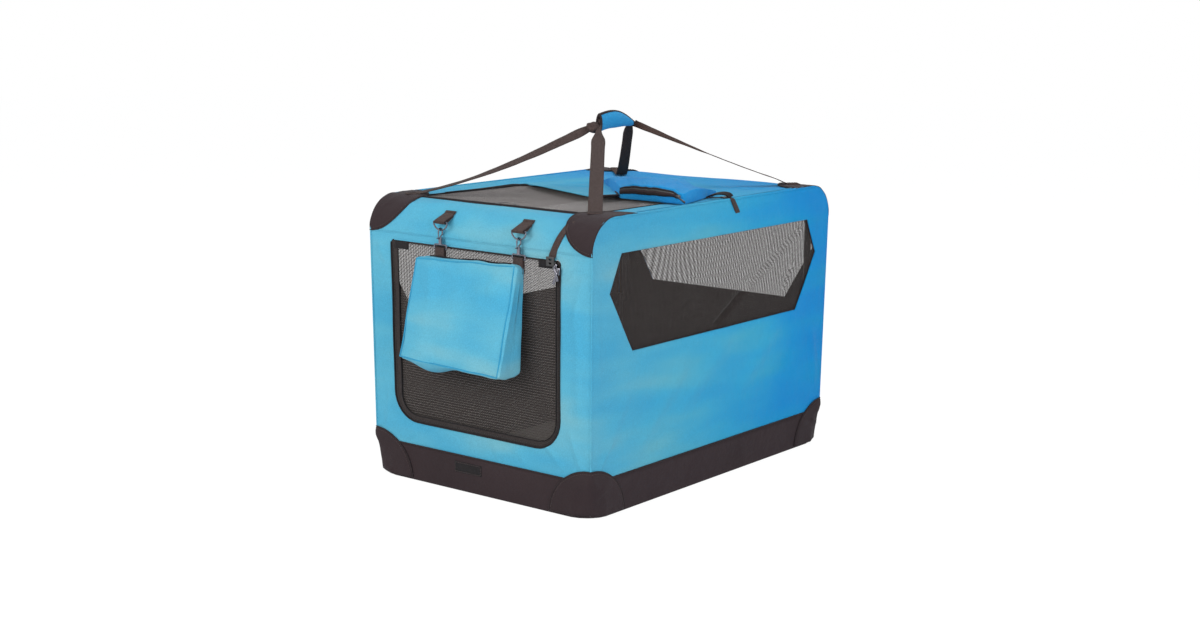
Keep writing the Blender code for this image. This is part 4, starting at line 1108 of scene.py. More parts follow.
HATCH_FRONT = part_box("hatch_hem")[0].y - DOOR_GAP
HATCH_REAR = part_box("hatch_net")[1].y - NET_LAP
HATCH_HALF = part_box("hatch_net")[1].x - NET_LAP
COVER_SAG = 0.003
TOP_WAVES = (0.12, 0.0022, 31.0)
TOP_PATCH_GRID = 0.004
TOP_PATCH_PROUD = 0.0014
TOP_PATCH_PUFF = 0.0012
TOP_PATCH_THICKNESS = 0.0012
TOP_PATCH_OVERHANG = 0.0008
TOP_PATCH_STITCHES_OUT = 0.0028
HATCH_LOW = 0.0035
HATCH_SAG = 0.006
HATCH_WAVES = (0.06, 0.0015, 51.0)
HEM_WAVES = (0.05, 0.0006, 53.0)
HEM_SUNK = 0.0006
HEM_THICKNESS = 0.0018
TOP_FOLDS = (
    ((-0.29, -0.44), (-0.10, -0.405), 0.010, 0.0020),
    ((0.28, -0.43), (0.05, -0.405), 0.010, 0.0016),
    ((-0.28, -0.30), (-0.275, 0.25), 0.012, 0.0030),
    ((0.275, 0.30), (0.10, 0.22), 0.012, 0.0022),
    ((-0.20, 0.38), (0.10, 0.24), 0.014, 0.0026),
    ((0.02, 0.40), (0.24, 0.38), 0.010, 0.0016),
)


def hatch_outline(inset=0.0):
    """The hatch's opening in the cover, drawn in by an inset."""
    low = (-HATCH_HALF + inset, HATCH_FRONT + inset)
    high = (HATCH_HALF - inset, HATCH_REAR - inset)
    radius = max(HATCH_CORNER - inset, 0.004)
    return rounded_box(low, high, radius, radius, 5)


def top_relief(u, v):
    """The cover sags a little between the rails."""
    inside = (1 - (u / HALF_WIDTH) ** 4) * (1 - (v / HALF_RUN) ** 4)
    folds = sum(ridge(u, v, *fold) for fold in TOP_FOLDS)
    fade = min(1.0, max(0.0, (HALF_WIDTH - abs(u)) / HEM_RUN))
    return fade * (folds - COVER_SAG * inside + slack(u, v, *TOP_WAVES) * inside)


def cover():
    """Blue cover over the top and both rounded ends, pierced for the hatch."""
    bm = flat_cloth(2 * HALF_WIDTH, -HALF_RUN, HALF_RUN, GRID)
    trim(bm, hatch_outline(), False)
    piece = cloth("cover", bm, on_top, top_relief, [BLUE, LINING], lining=1)
    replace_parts(ride_on(piece, "top"), "top_cover")
    declare_sheet(piece)
    for end, tag in ENDS:
        line = [on_top(u / 10 * (HALF_WIDTH - 0.004), end * HALF_RUN, -0.0006) for u in range(-10, 11)]
        ride_on(tube("shoulder_seam_" + tag, line, 0.0010, BLUE), "top")
    rim = [on_top(u, v, top_relief(u, v)) for u, v in closed_flat(hatch_outline(), SEAM_PITCH)]
    edge = tube("hatch_binding", rim, PIPING, TAPE, closed=True)
    ride_on(edge, "top")


def top_patches():
    """Brown patches over the cover's corners, bound along their curved edge."""
    for side, end, tag in CORNERS:
        radius = PATCH_RADIUS
        middle = end * (HALF_RUN - radius)
        edge_u = side * (HALF_WIDTH + TOP_PATCH_OVERHANG)
        bm = flat_cloth(radius, middle - radius, middle + radius, TOP_PATCH_GRID, edge_u - side * radius / 2)
        turn = 90 if side > 0 else -90
        outline = arc((edge_u, middle), radius, turn, turn + 180, 24)
        trim(bm, outline, True)

        def relief(u, v):
            rim = 1 - ((u - edge_u) ** 2 + (v - middle) ** 2) / radius ** 2
            puff = min(1.0, max(0.0, rim * 4))
            full = TOP_PATCH_PUFF + slack(u, v, 0.025, 0.0012, 41.0 + side + 2 * end)
            return TOP_PATCH_PROUD + puff * full

        piece = cloth("cover_patch_" + tag, bm, on_top, relief, [BROWN], TOP_PATCH_THICKNESS)
        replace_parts(ride_on(piece, "top"), "top_patch_" + tag)
        rim = [on_top(u, v, TOP_PATCH_PUFF) for u, v in outline]
        ride_on(tube("cover_patch_piping_" + tag, rim, PATCH_PIPING, BINDING), "top")
        line = [(arc((edge_u, middle), radius - PATCH_SEAM_IN, turn + 4, turn + 176, 24), False)]
        seam = stitches("cover_patch_stitches_" + tag, line, on_top, THREAD_DARK, TOP_PATCH_STITCHES_OUT)
        ride_on(seam, "top")


def hatch():
    """Net of the roof hatch, sagging a little in its opening."""
    bm = flat_cloth(2 * (HATCH_HALF + NET_LAP), HATCH_FRONT - NET_LAP, HATCH_REAR + NET_LAP, GRID)
    trim(bm, hatch_outline(-NET_LAP), True)

    def sag(u, v):
        way = (v - HATCH_FRONT) / (HATCH_REAR - HATCH_FRONT) * 2 - 1
        inside = (1 - (u / HATCH_HALF) ** 2) * (1 - way ** 2)
        return -HATCH_LOW - HATCH_SAG * max(0.0, inside) + slack(u, v, *HATCH_WAVES)

    piece = cloth("hatch_panel", bm, on_top, sag, [HATCH_NET], thickness=0)
    ride_on(piece, "top")
    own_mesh(piece)
    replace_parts(piece, "hatch_net")
    declare_sheet(piece)


def hatch_hem():
    """Bound front edge of the hatch with its zip line."""
    low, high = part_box("hatch_hem")
    bm = flat_cloth(high.x - low.x, low.y, high.y, 0.005)

    def relief(u, v):
        return slack(u, v, *HEM_WAVES) - HEM_SUNK

    wide = cloth("hatch_band", bm, on_top, relief, [BROWN], HEM_THICKNESS)
    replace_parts(ride_on(wide, "hatch"), "hatch_hem")
    for tag, back, radius, material in (("tape", 0.003, 0.0016, TAPE), ("coil", 0.008, 0.0012, COIL)):
        line = [on_top(low.x + (high.x - low.x) * i / 20, low.y + back, 0.0) for i in range(21)]
        ride_on(tube("hatch_zip_" + tag, line, radius, material), "hatch")


# Flap and pocket

FLAP_SHARES = ((-0.4, -0.025), (0.1875, -0.15), (0.25, -0.085), (-0.25, 0.225), (-0.4, 0.23))
FLAP_PROUD = 0.003
FLAP_PITCH = 0.015
FLAP_GRID = 0.005
FLAP_LIFT = 0.0045
FLAP_THICKNESS = 0.0014
FLAP_PIPING = 0.0024
FLAP_ZIP_RADIUS = 0.0022
TOP_SEAM_RADIUS = 0.0016
FLAP_FOLDS = (
    ((-0.15, -0.05), (0.06, 0.02), 0.010, 0.0030),
    ((-0.16, 0.02), (-0.05, 0.11), 0.012, 0.0026),
    ((0.02, -0.12), (0.05, -0.06), 0.008, 0.0022),
)
FLAP_ZIP = [(-HATCH_HALF + 0.002, -0.29), (-0.215, 0.02), (-0.205, 0.176)]
TOP_SEAM = [(0.303, -0.29), (0.306, 0.02), (0.303, 0.35)]
POCKET_FRONT = 0.010
POCKET_DEPTH_SHARE = 0.84
POCKET_MOUTH_START = 0.02
POCKET_MOUTH_END = 0.94
POCKET_MOUTH_LEVEL = 0.66
POCKET_ROUND = 0.05
POCKET_WAVES = (0.42, 0.0042, 61.0)
POCKET_RIPPLES = (0.6, 0.0016, 62.0)
POCKET_ZIP_OUT = 0.0026
POCKET_MOUTH = (
    ("lower", 0.50, 0.0030, TAPE), ("upper", 0.82, 0.0030, TAPE), ("coil", 0.72, 0.0030, COIL),
    ("inside", 0.60, 0.0036, BROWN),
)
POCKET_CUTS = (56, 26, 8)
POCKET_RIM = [(0.03, 0.04), (0.97, 0.04), (0.97, 0.96), (0.05, 0.96)]
POCKET_FOLDS = (
    ((0.10, 0.30), (0.45, 0.75), 0.07, -0.0050),
    ((0.48, 0.35), (0.62, 0.80), 0.05, -0.0045),
    ((0.66, 0.35), (0.78, 0.90), 0.05, 0.0050),
    ((0.84, 0.35), (0.90, 0.80), 0.05, -0.0040),
    ((0.20, 0.85), (0.55, 0.92), 0.06, 0.0040),
)


def flap_outline():
    """Outline of the folded flap, as shares of the hatch's width and the cabin's length."""
    return [(across * 2 * HATCH_HALF, HATCH_REAR + back * LENGTH) for across, back in FLAP_SHARES]


def flap():
    """Cover flap, unzipped and folded back, with a bound edge beside the pocket."""
    outline = flap_outline()
    low = min(v for _, v in outline)
    high = max(v for _, v in outline)
    bm = flat_cloth(2 * HATCH_HALF, low, high, FLAP_GRID)
    trim(bm, outline, True)

    def relief(u, v):
        lift = FLAP_LIFT * min(1.0, max(0.0, (0.03 - v) / 0.13))
        return FLAP_PROUD + lift + sum(ridge(u, v, *fold) for fold in FLAP_FOLDS)

    piece = cloth("flap", bm, on_top, relief, [BLUE, BROWN], FLAP_THICKNESS, lining=1)
    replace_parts(ride_on(piece, "top"), "cover_flap")
    declare_sheet(piece)
    points = [on_top(u, v, relief(u, v)) for u, v in spaced_flat(outline[1:4], FLAP_PITCH)]
    ride_on(tube("flap_piping", points, FLAP_PIPING, BINDING), "top")
    points = [on_top(u, v, top_relief(u, v) + 0.001) for u, v in spaced_flat(FLAP_ZIP, FLAP_PITCH)]
    ride_on(tube("flap_zip_left", points, FLAP_ZIP_RADIUS, TAPE), "top")
    points = [on_top(u, v, top_relief(u, v) + 0.0006) for u, v in spaced_flat(TOP_SEAM, FLAP_PITCH)]
    ride_on(tube("side_seam_top", points, TOP_SEAM_RADIUS, BLUE_SEAM), "top")


def pocket_shape(a, b, c):
    """Point of the pocket for shares: a from left to right, b from front to back, c from foot to top."""
    low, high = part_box("roof_pocket")
    outline = flap_outline()
    front_left, back_left = outline[2][0] + 0.006, outline[3][0] + 0.022
    left = front_left + (back_left - front_left) * b
    right = high.x + 0.036 * (1 - b) ** 1.3 - 0.034 * b ** 2
    x = left + (right - left) * a
    y = low.y - POCKET_FRONT + POCKET_DEPTH_SHARE * (high.y - low.y) * b
    late = max(0.0, (a - 0.70) / 0.30)
    full = (0.036 + 0.040 * b - 0.070 * b * b) * (1 - (0.26 + 0.2 * b) * late * late * (3 - 2 * late))
    full *= 0.72 + 0.28 * min(1.0, a / 0.2)
    belly = math.sin(math.pi * min(1.0, c * 1.2)) * 0.004
    y -= belly * (1 - 2 * b) * (1 - (2 * a - 1) ** 6)
    return Vector((x, y, HEIGHT + full * c))


def pocket_wave(a, b, c):
    """Folds of the pocket's cloth, up or down."""
    wave = slack(a * 3.2, b * 1.6, *POCKET_WAVES) + slack(a * 9.0, b * 3.0, *POCKET_RIPPLES)
    for fold in POCKET_FOLDS:
        wave += ridge(a, b, *fold)
    return wave * c


def on_pocket(a, b, c):
    """Point of the pocket's cloth, folds and all."""
    return pocket_shape(a, b, c) + Vector((0, 0, pocket_wave(a, b, c)))


def roof_pocket():
    """Gusseted pocket on the roof with a long zip across its front."""
    bm = soft_unit_box(POCKET_ROUND, 4, POCKET_CUTS)
    low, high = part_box("roof_pocket")
    size = high - low
    lay_uvs(bm, lambda spot: (size.x * spot.x, size.y * spot.y + size.z * spot.z))
    for vert in bm.verts:
        vert.co = on_pocket(vert.co.x + 0.5, vert.co.y + 0.5, vert.co.z + 0.5)
    bmesh.ops.recalc_face_normals(bm, faces=bm.faces)
    piece = as_object("roof_pocket_body", bm, POCKET_BLUE)
    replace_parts(ride_on(piece, "top"), "roof_pocket")
    for tag, rise, radius, material in POCKET_MOUTH:
        line = []
        for i in range(31):
            a = POCKET_MOUTH_START + (POCKET_MOUTH_END - POCKET_MOUTH_START) * i / 30
            spread = 1 - 0.75 * (i / 30) ** 6
            level = POCKET_MOUTH_LEVEL + (rise - POCKET_MOUTH_LEVEL) * spread
            line.append(on_pocket(a, 0, level) + Vector((0, -POCKET_ZIP_OUT, 0.0004 * math.sin(i * 0.8))))
        ride_on(tube("pocket_zip_" + tag, line, radius, material), "top")
    rim = spaced_flat(POCKET_RIM, 0.05)
    points = [on_pocket(a, b, 0.97) - Vector((0, 0, 0.001)) for a, b in rim]
    ride_on(tube("pocket_piping", points, 0.0014, POCKET_BLUE), "top")


# Handle

GRIP_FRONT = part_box("handle_grip")[0].y
GRIP_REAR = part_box("handle_grip")[1].y
GRIP_FRONT_Z = 0.791
GRIP_REAR_Z = 0.785
GRIP_RISE = 0.009
GRIP_HALF_WIDTH = 0.0122
GRIP_FRONT_HALF_HEIGHT = 0.021
GRIP_REAR_HALF_HEIGHT = 0.0070
GRIP_OPENING = 0.05
GRIP_CLOTH_WIDTH = 0.11
GRIP_WAVES = (1.0, 0.0016, 71.0)
GRIP_SUNK = 0.0006
GRIP_PIPING = 0.0030
GRIP_EDGE = 0.0032
GRIP_CORE_HALF_WIDTH = 0.009
GRIP_CORE_THICKNESS = 0.006
GRIP_CLEAR = 0.001
GRIP_CUTS = 36
KNOT_WIDTH = 0.028
KNOT_LENGTH = 0.030
KNOT_HEIGHT = 0.026
KNOT_DROP = 0.010
KNOT_CUTS = 5
KNOT_ROUND = 0.6
KNOT_WAVES = (1.0, 0.35, 75.0)
GRIP_PAD = 0.004


def grip_line(share):
    """Place along the grip's arch, and its height there."""
    rise = GRIP_RISE * math.sin(math.pi * share)
    z = GRIP_FRONT_Z + (GRIP_REAR_Z - GRIP_FRONT_Z) * share + rise
    return GRIP_FRONT + (GRIP_REAR - GRIP_FRONT) * share, z


def grip_point(turn, share, out=0.0):
    """Point of the wrap: turn from -0.5 to 0.5 round it, open along its top."""
    angle = math.radians(90) + (turn * (1 - GRIP_OPENING) + 0.5) * 2 * math.pi
    y, z = grip_line(share)
    high = GRIP_FRONT_HALF_HEIGHT + (GRIP_REAR_HALF_HEIGHT - GRIP_FRONT_HALF_HEIGHT) * share ** 3
    slim = 1 - 0.42 * (1 - share) ** 4 - 0.30 * share ** 5
    pinch = 1 - 0.35 * max(0.0, math.sin(angle)) ** 3
    x = (GRIP_HALF_WIDTH + out) * slim * math.cos(angle) * pinch
    return Vector((x, y, z + (high + out) * math.sin(angle)))


def handle_grip():
    """Padded wrap closed round the webbing, with bound ends and a bound opening on top."""
    bm = bmesh.new()
    bmesh.ops.create_grid(bm, x_segments=GRIP_CUTS, y_segments=GRIP_CUTS, size=0.5)
    length = GRIP_REAR - GRIP_FRONT
    lay_uvs(bm, lambda spot: (spot.x * GRIP_CLOTH_WIDTH, spot.y * length))
    for vert in bm.verts:
        turn, share = vert.co.x, vert.co.y + 0.5
        vert.co = grip_point(turn, share, slack(turn * 4, share * 3, *GRIP_WAVES) - GRIP_SUNK)
    piece = as_object("grip_wrap", bm, GRIP_BLUE, LINING)
    face = piece.data.polygons[len(piece.data.polygons) // 2]
    if face.normal.dot(face.center - Vector((0, (GRIP_FRONT + GRIP_REAR) / 2, GRIP_FRONT_Z))) < 0:
        piece.data.flip_normals()
    thicken(piece, GRIP_PAD, 1)
    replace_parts(ride_on(piece, "handle"), "handle_grip")
    for tag, share in (("front", 0.0), ("rear", 1.0)):
        ring = [grip_point(i / 24 - 0.5, share, -GRIP_PAD / 3) for i in range(25)]
        ride_on(tube("grip_piping_" + tag, ring, GRIP_PIPING, BINDING), "handle")
    for tag, turn in (("left", -0.5), ("right", 0.5)):
        line = [grip_point(turn, i / 16, -GRIP_PAD / 3) for i in range(17)]
        ride_on(tube("grip_edge_" + tag, line, GRIP_EDGE, BINDING), "handle")
    points = [(0, *grip_line(share)) for share in (0.0, 0.25, 0.5, 0.75, 1.0)]
    place = along(points, [(0.0, 0, GRIP_CORE_HALF_WIDTH)] * len(points))
    core = cloth("grip_webbing", flat_cloth(2.0, 0, 1, 0.04), place, lambda u, v: 0.0, [WEBBING], 0)
    thicken(core, GRIP_CORE_THICKNESS, side=0)
    ride_on(core, "handle")
    webbing_knot()


def webbing_knot():
    """The straps' ends gathered into a soft lump in front of the grip."""
    knot = unit_box()
    bmesh.ops.subdivide_edges(knot, edges=knot.edges[:], cuts=KNOT_CUTS, use_grid_fill=True)
    spot = Vector((-KNOT_WIDTH * 0.3, GRIP_FRONT - KNOT_LENGTH * 0.35, GRIP_FRONT_Z - KNOT_DROP))
    size = Vector((KNOT_WIDTH, KNOT_LENGTH, KNOT_HEIGHT))
    for vert in knot.verts:
        rounded = vert.co.lerp(vert.co.normalized() * 0.5, KNOT_ROUND)
        wave = 1 + slack(vert.co.x * 3, vert.co.z * 3, *KNOT_WAVES)
        vert.co = spot + Vector([side * full for side, full in zip(rounded, size)]) * wave
    ride_on(as_object("grip_webbing_fold", knot, WEBBING), "handle")


FOOT_X = 0.262
FOOT_Y = 0.372
FOOT_PROUD = 0.0034
HALF_WEBBING = 0.0155
STRAP_GRID = (8, 110)
STRAP_STATIONS = 11
STRAP_SEWN_BEHIND = 0.020
STRAP_SEWN_AHEAD = 0.006
STRAP_WAVES = (1.0, 0.0006, 73.0)
STRAP_SEAM_IN = 0.003
STRAP_SEAM_REACH = 0.011
NECK_START = 0.82
NECK_RUN = 0.09
STRAP_SHIFTS = {"front_left": 0.0, "front_right": -0.0065, "rear_left": 0.0, "rear_right": 0.0}
STRAP_HEAD_X = 0.0065
STRAP_HEAD_DROP = 0.0055
STRAP_END = 0.0072
STRAP_THICKNESS = 0.0017
STRAP_SAGS = {"front_left": 0.020, "front_right": 0.002, "rear_left": 0.072, "rear_right": 0.006}
STRAP_TURNS = {"front_left": 0.72, "front_right": 0.0, "rear_left": 0.10, "rear_right": 0.60}
STRAP_TWIST_STARTS = {"front_left": 0.30, "front_right": 0.375, "rear_left": 0.5, "rear_right": 0.52}
STRAP_NARROWS = {"front_left": 0.10, "front_right": 0.0, "rear_left": 0.30, "rear_right": 0.10}
STRAP_NECKS = {"front_right": 0.52}


def handle_straps():
    """Four webbing straps, sewn flat to the patches and drawn to a point at the grip."""
    foot_z = HEIGHT + FOOT_PROUD
    for side, end, tag in CORNERS:
        head_y, head_z = grip_line(0.0 if end < 0 else 1.0)
        if end < 0:
            head_z -= STRAP_HEAD_DROP
        head = Vector((side * STRAP_HEAD_X + STRAP_SHIFTS[tag], head_y + end * GRIP_CLEAR, head_z))
        foot = Vector((side * FOOT_X + STRAP_SHIFTS[tag], end * FOOT_Y, foot_z))
        run = head - foot
        level = Vector((run.x, run.y, 0)).normalized()
        across = Vector((level.y, -level.x, 0)) * (1 if side > 0 else -1)
        sag, turn, start = STRAP_SAGS[tag], STRAP_TURNS[tag], STRAP_TWIST_STARTS[tag]
        points = [foot - level * STRAP_SEWN_BEHIND, foot + level * STRAP_SEWN_AHEAD]
        widths = [across * HALF_WEBBING] * 2
        for step in range(1, STRAP_STATIONS):
            way = step / STRAP_STATIONS
            point = foot + run * way - Vector((0, 0, 4 * sag * way * (1 - way) ** 1.4))
            point.z = max(point.z, foot_z)
            points.append(point)
            twist = turn * max(0.0, way - start) / (1 - start)
            facing = across * math.cos(twist) + Vector((0, 0, 1)) * math.sin(twist)
            near = min(1.0, max(0.0, (way - NECK_START) / NECK_RUN))
            neck = 1 - STRAP_NECKS.get(tag, 0.0) * near
            widths.append(facing * HALF_WEBBING * (1 - STRAP_NARROWS[tag] * way) * neck)
        points.append(head)
        widths.append(Vector((math.cos(turn) * STRAP_END, 0, STRAP_END * (0.4 + math.sin(turn)))))
        bm = bmesh.new()
        bmesh.ops.create_grid(bm, x_segments=STRAP_GRID[0], y_segments=STRAP_GRID[1], size=0.5)
        lay_uvs(bm, lambda spot: (spot.x * 2 * HALF_WEBBING, spot.y * run.length))
        place = along(points, widths)
        for vert in bm.verts:
            u, v = vert.co.x * 2, vert.co.y + 0.5
            vert.co = place(u, v, slack(u, v * 12, *STRAP_WAVES))
        # The rear straps take the redder copy of the webbing, painted to cancel the blue bounce light from
        # the roof.
        piece = as_object("strap_" + tag, bm, WEBBING_AGAINST_BOUNCE if end > 0 else WEBBING)
        ride_on(thicken(piece, STRAP_THICKNESS, side=0), "top")
        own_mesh(piece)
        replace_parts(piece, "handle_strap_" + tag)
        strap_stitches(tag, foot, level, across)


def strap_stitches(tag, foot, level, across):
    """Box of stitches that holds a strap's foot to its patch."""
    half, reach = HALF_WEBBING - STRAP_SEAM_IN, STRAP_SEAM_REACH
    box = [(-half, -reach), (half, -reach), (half, reach), (-half, reach), (-half, -reach), (half, reach)]

    def place(u, v, out=0.0):
        return foot + across * u + level * (v - STRAP_SEWN_AHEAD) + Vector((0, 0, STRAP_THICKNESS / 2 + out))

    seam = stitches("strap_stitches_" + tag, [(box, False)], place, THREAD_DARK, 0.0003)
    ride_on(seam, "top")


# Pouch

POUCH_TOP = 0.5225
POUCH_FOOT = 0.297
POUCH_TOP_DEPTH = 0.022
POUCH_LOW_DEPTH = 0.070
POUCH_LEAN = 0.006
POUCH_SHIFT = 0.001
POUCH_SHEAR = 0.004
POUCH_SEAM = 0.003
POUCH_DROOP = 0.019
POUCH_CUTS = (36, 36, 36)
POUCH_ROUND = 0.045
POUCH_WAVES = (0.45, 0.0060, 81.0)
POUCH_RIPPLES = (0.16, 0.0012, 82.0)
POUCH_SIDE_WAVES = (0.35, 0.003, 83.0)
POUCH_END_WAVES = (0.3, 0.003, 85.0)
POUCH_BULGE = 0.006
POUCH_PIPING = 0.0017
POUCH_ZIP = (("tape", 0.34, 0.0026, TAPE), ("coil", 0.30, 0.0016, COIL))
POUCH_CLOTH_WIDTH = 0.29
POUCH_CLOTH_HEIGHT = 0.23
POUCH_CLOTH_DEPTH = 0.07
POUCH_FOLDS = (
    ((0.20, 0.88), (0.90, 0.70), 0.08, 0.0046),
    ((-0.75, 0.96), (-0.50, 0.55), 0.09, 0.0034),
    ((-0.95, 0.14), (-0.30, 0.06), 0.07, 0.0042),
    ((0.35, 0.06), (0.92, 0.30), 0.08, 0.0034),
    ((0.70, 0.97), (0.60, 0.70), 0.06, 0.0036),
    ((-0.45, 0.95), (-0.20, 0.90), 0.05, 0.0036),
)
POUCH_RIM = [(-0.985, 0.012), (0.95, 0.012), (0.95, 0.985), (-0.985, 0.985)]
POUCH_RIM_PITCH = 0.06


def pouch_shape(a, b, c):
    """Point of the pouch for shares: a across, b from back to front, c from foot to top."""
    low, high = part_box("pouch")
    below = 1 - c
    half = (high.x - low.x) / 2 - POUCH_SEAM
    x = (low.x + high.x) / 2 + POUCH_SHIFT + a * half - POUCH_SHEAR * below
    depth = POUCH_TOP_DEPTH + (POUCH_LOW_DEPTH - POUCH_TOP_DEPTH) * below
    bulge = (1 - a * a) * math.sin(math.pi * c)
    y = high.y - 0.001 - POUCH_LEAN * below - depth * b - POUCH_BULGE * bulge * (b if b > 0.5 else 0)
    top = POUCH_TOP + 0.0035 * a + 0.0015 * b * (1 + a) + 0.0012 * math.sin(7.5 * a + 0.6) * (1 - a ** 4)
    foot = POUCH_FOOT - 0.005 * a + 0.002 * b
    z = foot + (top - foot) * c
    z -= POUCH_DROOP * math.sin(math.pi * b) * below ** 4 * math.exp(-(((a + 0.5) / 0.35) ** 2))
    z -= 0.006 * math.sin(math.pi * b) * below ** 4
    return Vector((x, y, z))


def pouch():
    """Gusseted pouch: flat front and back, a boxed edge, piped seams and a zip on top."""
    bm = soft_unit_box(POUCH_ROUND, 3, POUCH_CUTS)
    wide, high, deep = POUCH_CLOTH_WIDTH, POUCH_CLOTH_HEIGHT, POUCH_CLOTH_DEPTH
    lay_uvs(bm, lambda spot: (wide * spot.x + deep * spot.y, high * spot.z + deep * spot.y))
    for vert in bm.verts:
        a, b, c = vert.co.x * 2, 0.5 - vert.co.y, vert.co.z + 0.5
        wave = slack(a, c, *POUCH_WAVES) + slack(a, c, *POUCH_RIPPLES)
        for fold in POUCH_FOLDS:
            wave += ridge(a, c, *fold)
        point = pouch_shape(a, b, c)
        point.y -= wave * (1 if b > 0.5 else 0.2)
        point.x += slack(b, c, *POUCH_SIDE_WAVES) * a ** 3
        point.z += slack(a, b, *POUCH_END_WAVES) * (c ** 8 - (1 - c) ** 8)
        vert.co = point
    bmesh.ops.recalc_face_normals(bm, faces=bm.faces)
    body = as_object("pouch_body", bm, BLUE)
    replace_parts(ride_on(body, "pouch"), "pouch")
    rim = closed_flat(POUCH_RIM, POUCH_RIM_PITCH)
    for tag, b, share in (("front", 0.99, 1.0), ("back", 0.03, 0.0)):
        line = [pouch_shape(u, b, v) - Vector((0, share * slack(u, v, *POUCH_WAVES), 0)) for u, v in rim]
        edge = tube("pouch_piping_" + tag, line, POUCH_PIPING, BLUE_SEAM, closed=True)
        ride_on(edge, "pouch")
    for tag, b, radius, material in POUCH_ZIP:
        line = [pouch_shape(i / 10, b, 1.0) + Vector((0, 0, 0.0006)) for i in range(-8, 9)]
        ride_on(tube("pouch_zip_" + tag, line, radius, material), "pouch")


# Loops, tabs and ties

HOOK_X = (("left", -0.095), ("right", 0.128))
HANG_Y = 0.466
EYE_BAR_Z = 0.5383
LOOP_FOOT_Z = 0.508
LOOP_BEND = 0.0031
LOOP_THICKNESS = 0.0013
HALF_LOOP = 0.013
RING_Z = 0.597
TAB_BEND = 0.0034
TAB_PROUD = 0.0014
TAB_SEWN = (0.618, 0.615, 0.612)
TAB_THICKNESS = 0.0016
HALF_TAB = 0.015
TIE_THICKNESS = 0.0014
TIE_PROUD = 0.0016
TIE_FOLD_THICKNESS = 0.0026
DOOR_BUCKLE = (0.021, 0.020, 0.0035)
SIDE_BUCKLE = (0.021, 0.014, 0.004)
STRIP_COLUMNS = 6
STRIP_ROWS = 60
STRIP_CLOTH_LENGTH = 0.1
DOOR_TIE_LINE = (
    (0.238, -0.428), (0.234, -0.445), (0.228, -0.465), (0.222, -0.483), (0.216, -0.498), (0.213, -0.512),
)


def strip(name, points, widths, thickness, finish):
    """A narrow strip of webbing laid along a line of points."""
    bm = bmesh.new()
    bmesh.ops.create_grid(bm, x_segments=STRIP_COLUMNS, y_segments=STRIP_ROWS, size=0.5)
    width = 2 * Vector(widths[0]).length
    lay_uvs(bm, lambda spot: (spot.x * width, spot.y * STRIP_CLOTH_LENGTH))
    place = along(points, widths)
    for vert in bm.verts:
        vert.co = place(vert.co.x * 2, vert.co.y + 0.5, 0)
    return thicken(as_object(name, bm, finish), thickness, side=0)


def pouch_loops():
    """Dark webbing loops that hang the pouch on the eyes of its hooks."""
    for tag, x in HOOK_X:
        bend, foot = [], LOOP_FOOT_Z
        middle = (foot + EYE_BAR_Z) / 2
        for angle in range(180, -1, -30):
            turn = math.radians(angle)
            y = -HANG_Y + LOOP_BEND * math.cos(turn + math.pi)
            bend.append((x, y, EYE_BAR_Z + LOOP_BEND * math.sin(turn)))
        front, back = -HANG_Y - LOOP_BEND, -HANG_Y + LOOP_BEND
        points = [(x, front, foot), (x, front, middle), *sorted(bend, key=lambda p: p[1])]
        points += [(x, back, middle), (x, back, foot)]
        piece = strip("pouch_loop_" + tag, points, [(HALF_LOOP, 0, 0)] * len(points), LOOP_THICKNESS, WEBBING)
        ride_on(piece, "pouch")


def cover_reach(z):
    """Distance of the front cover's outer face from the middle, at a height on its arc."""
    return END_CENTRE + math.sqrt(END_RADIUS ** 2 - (z - SHOULDER) ** 2)


def hanging_tabs():
    """Webbing tabs, sewn to the cover and folded round the rings' bars."""
    for tag, x in HOOK_X:
        bar = Vector((x, -HANG_Y, RING_Z))
        points = [(x, -cover_reach(z) - TAB_PROUD, z) for z in TAB_SEWN]
        for angle in (120, 165, 210, 255, 300):
            turn = math.radians(angle)
            points.append(bar + Vector((0, math.cos(turn), math.sin(turn))) * TAB_BEND)
        points += [(x, -HANG_Y + 0.012, RING_Z + 0.0025), (x, -cover_reach(0.608) - 0.0010, 0.608)]
        piece = strip("tab_" + tag, points, [(HALF_TAB, 0, 0)] * len(points), TAB_THICKNESS, WEBBING)
        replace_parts(ride_on(piece, "top"), "pouch_tab_" + tag)


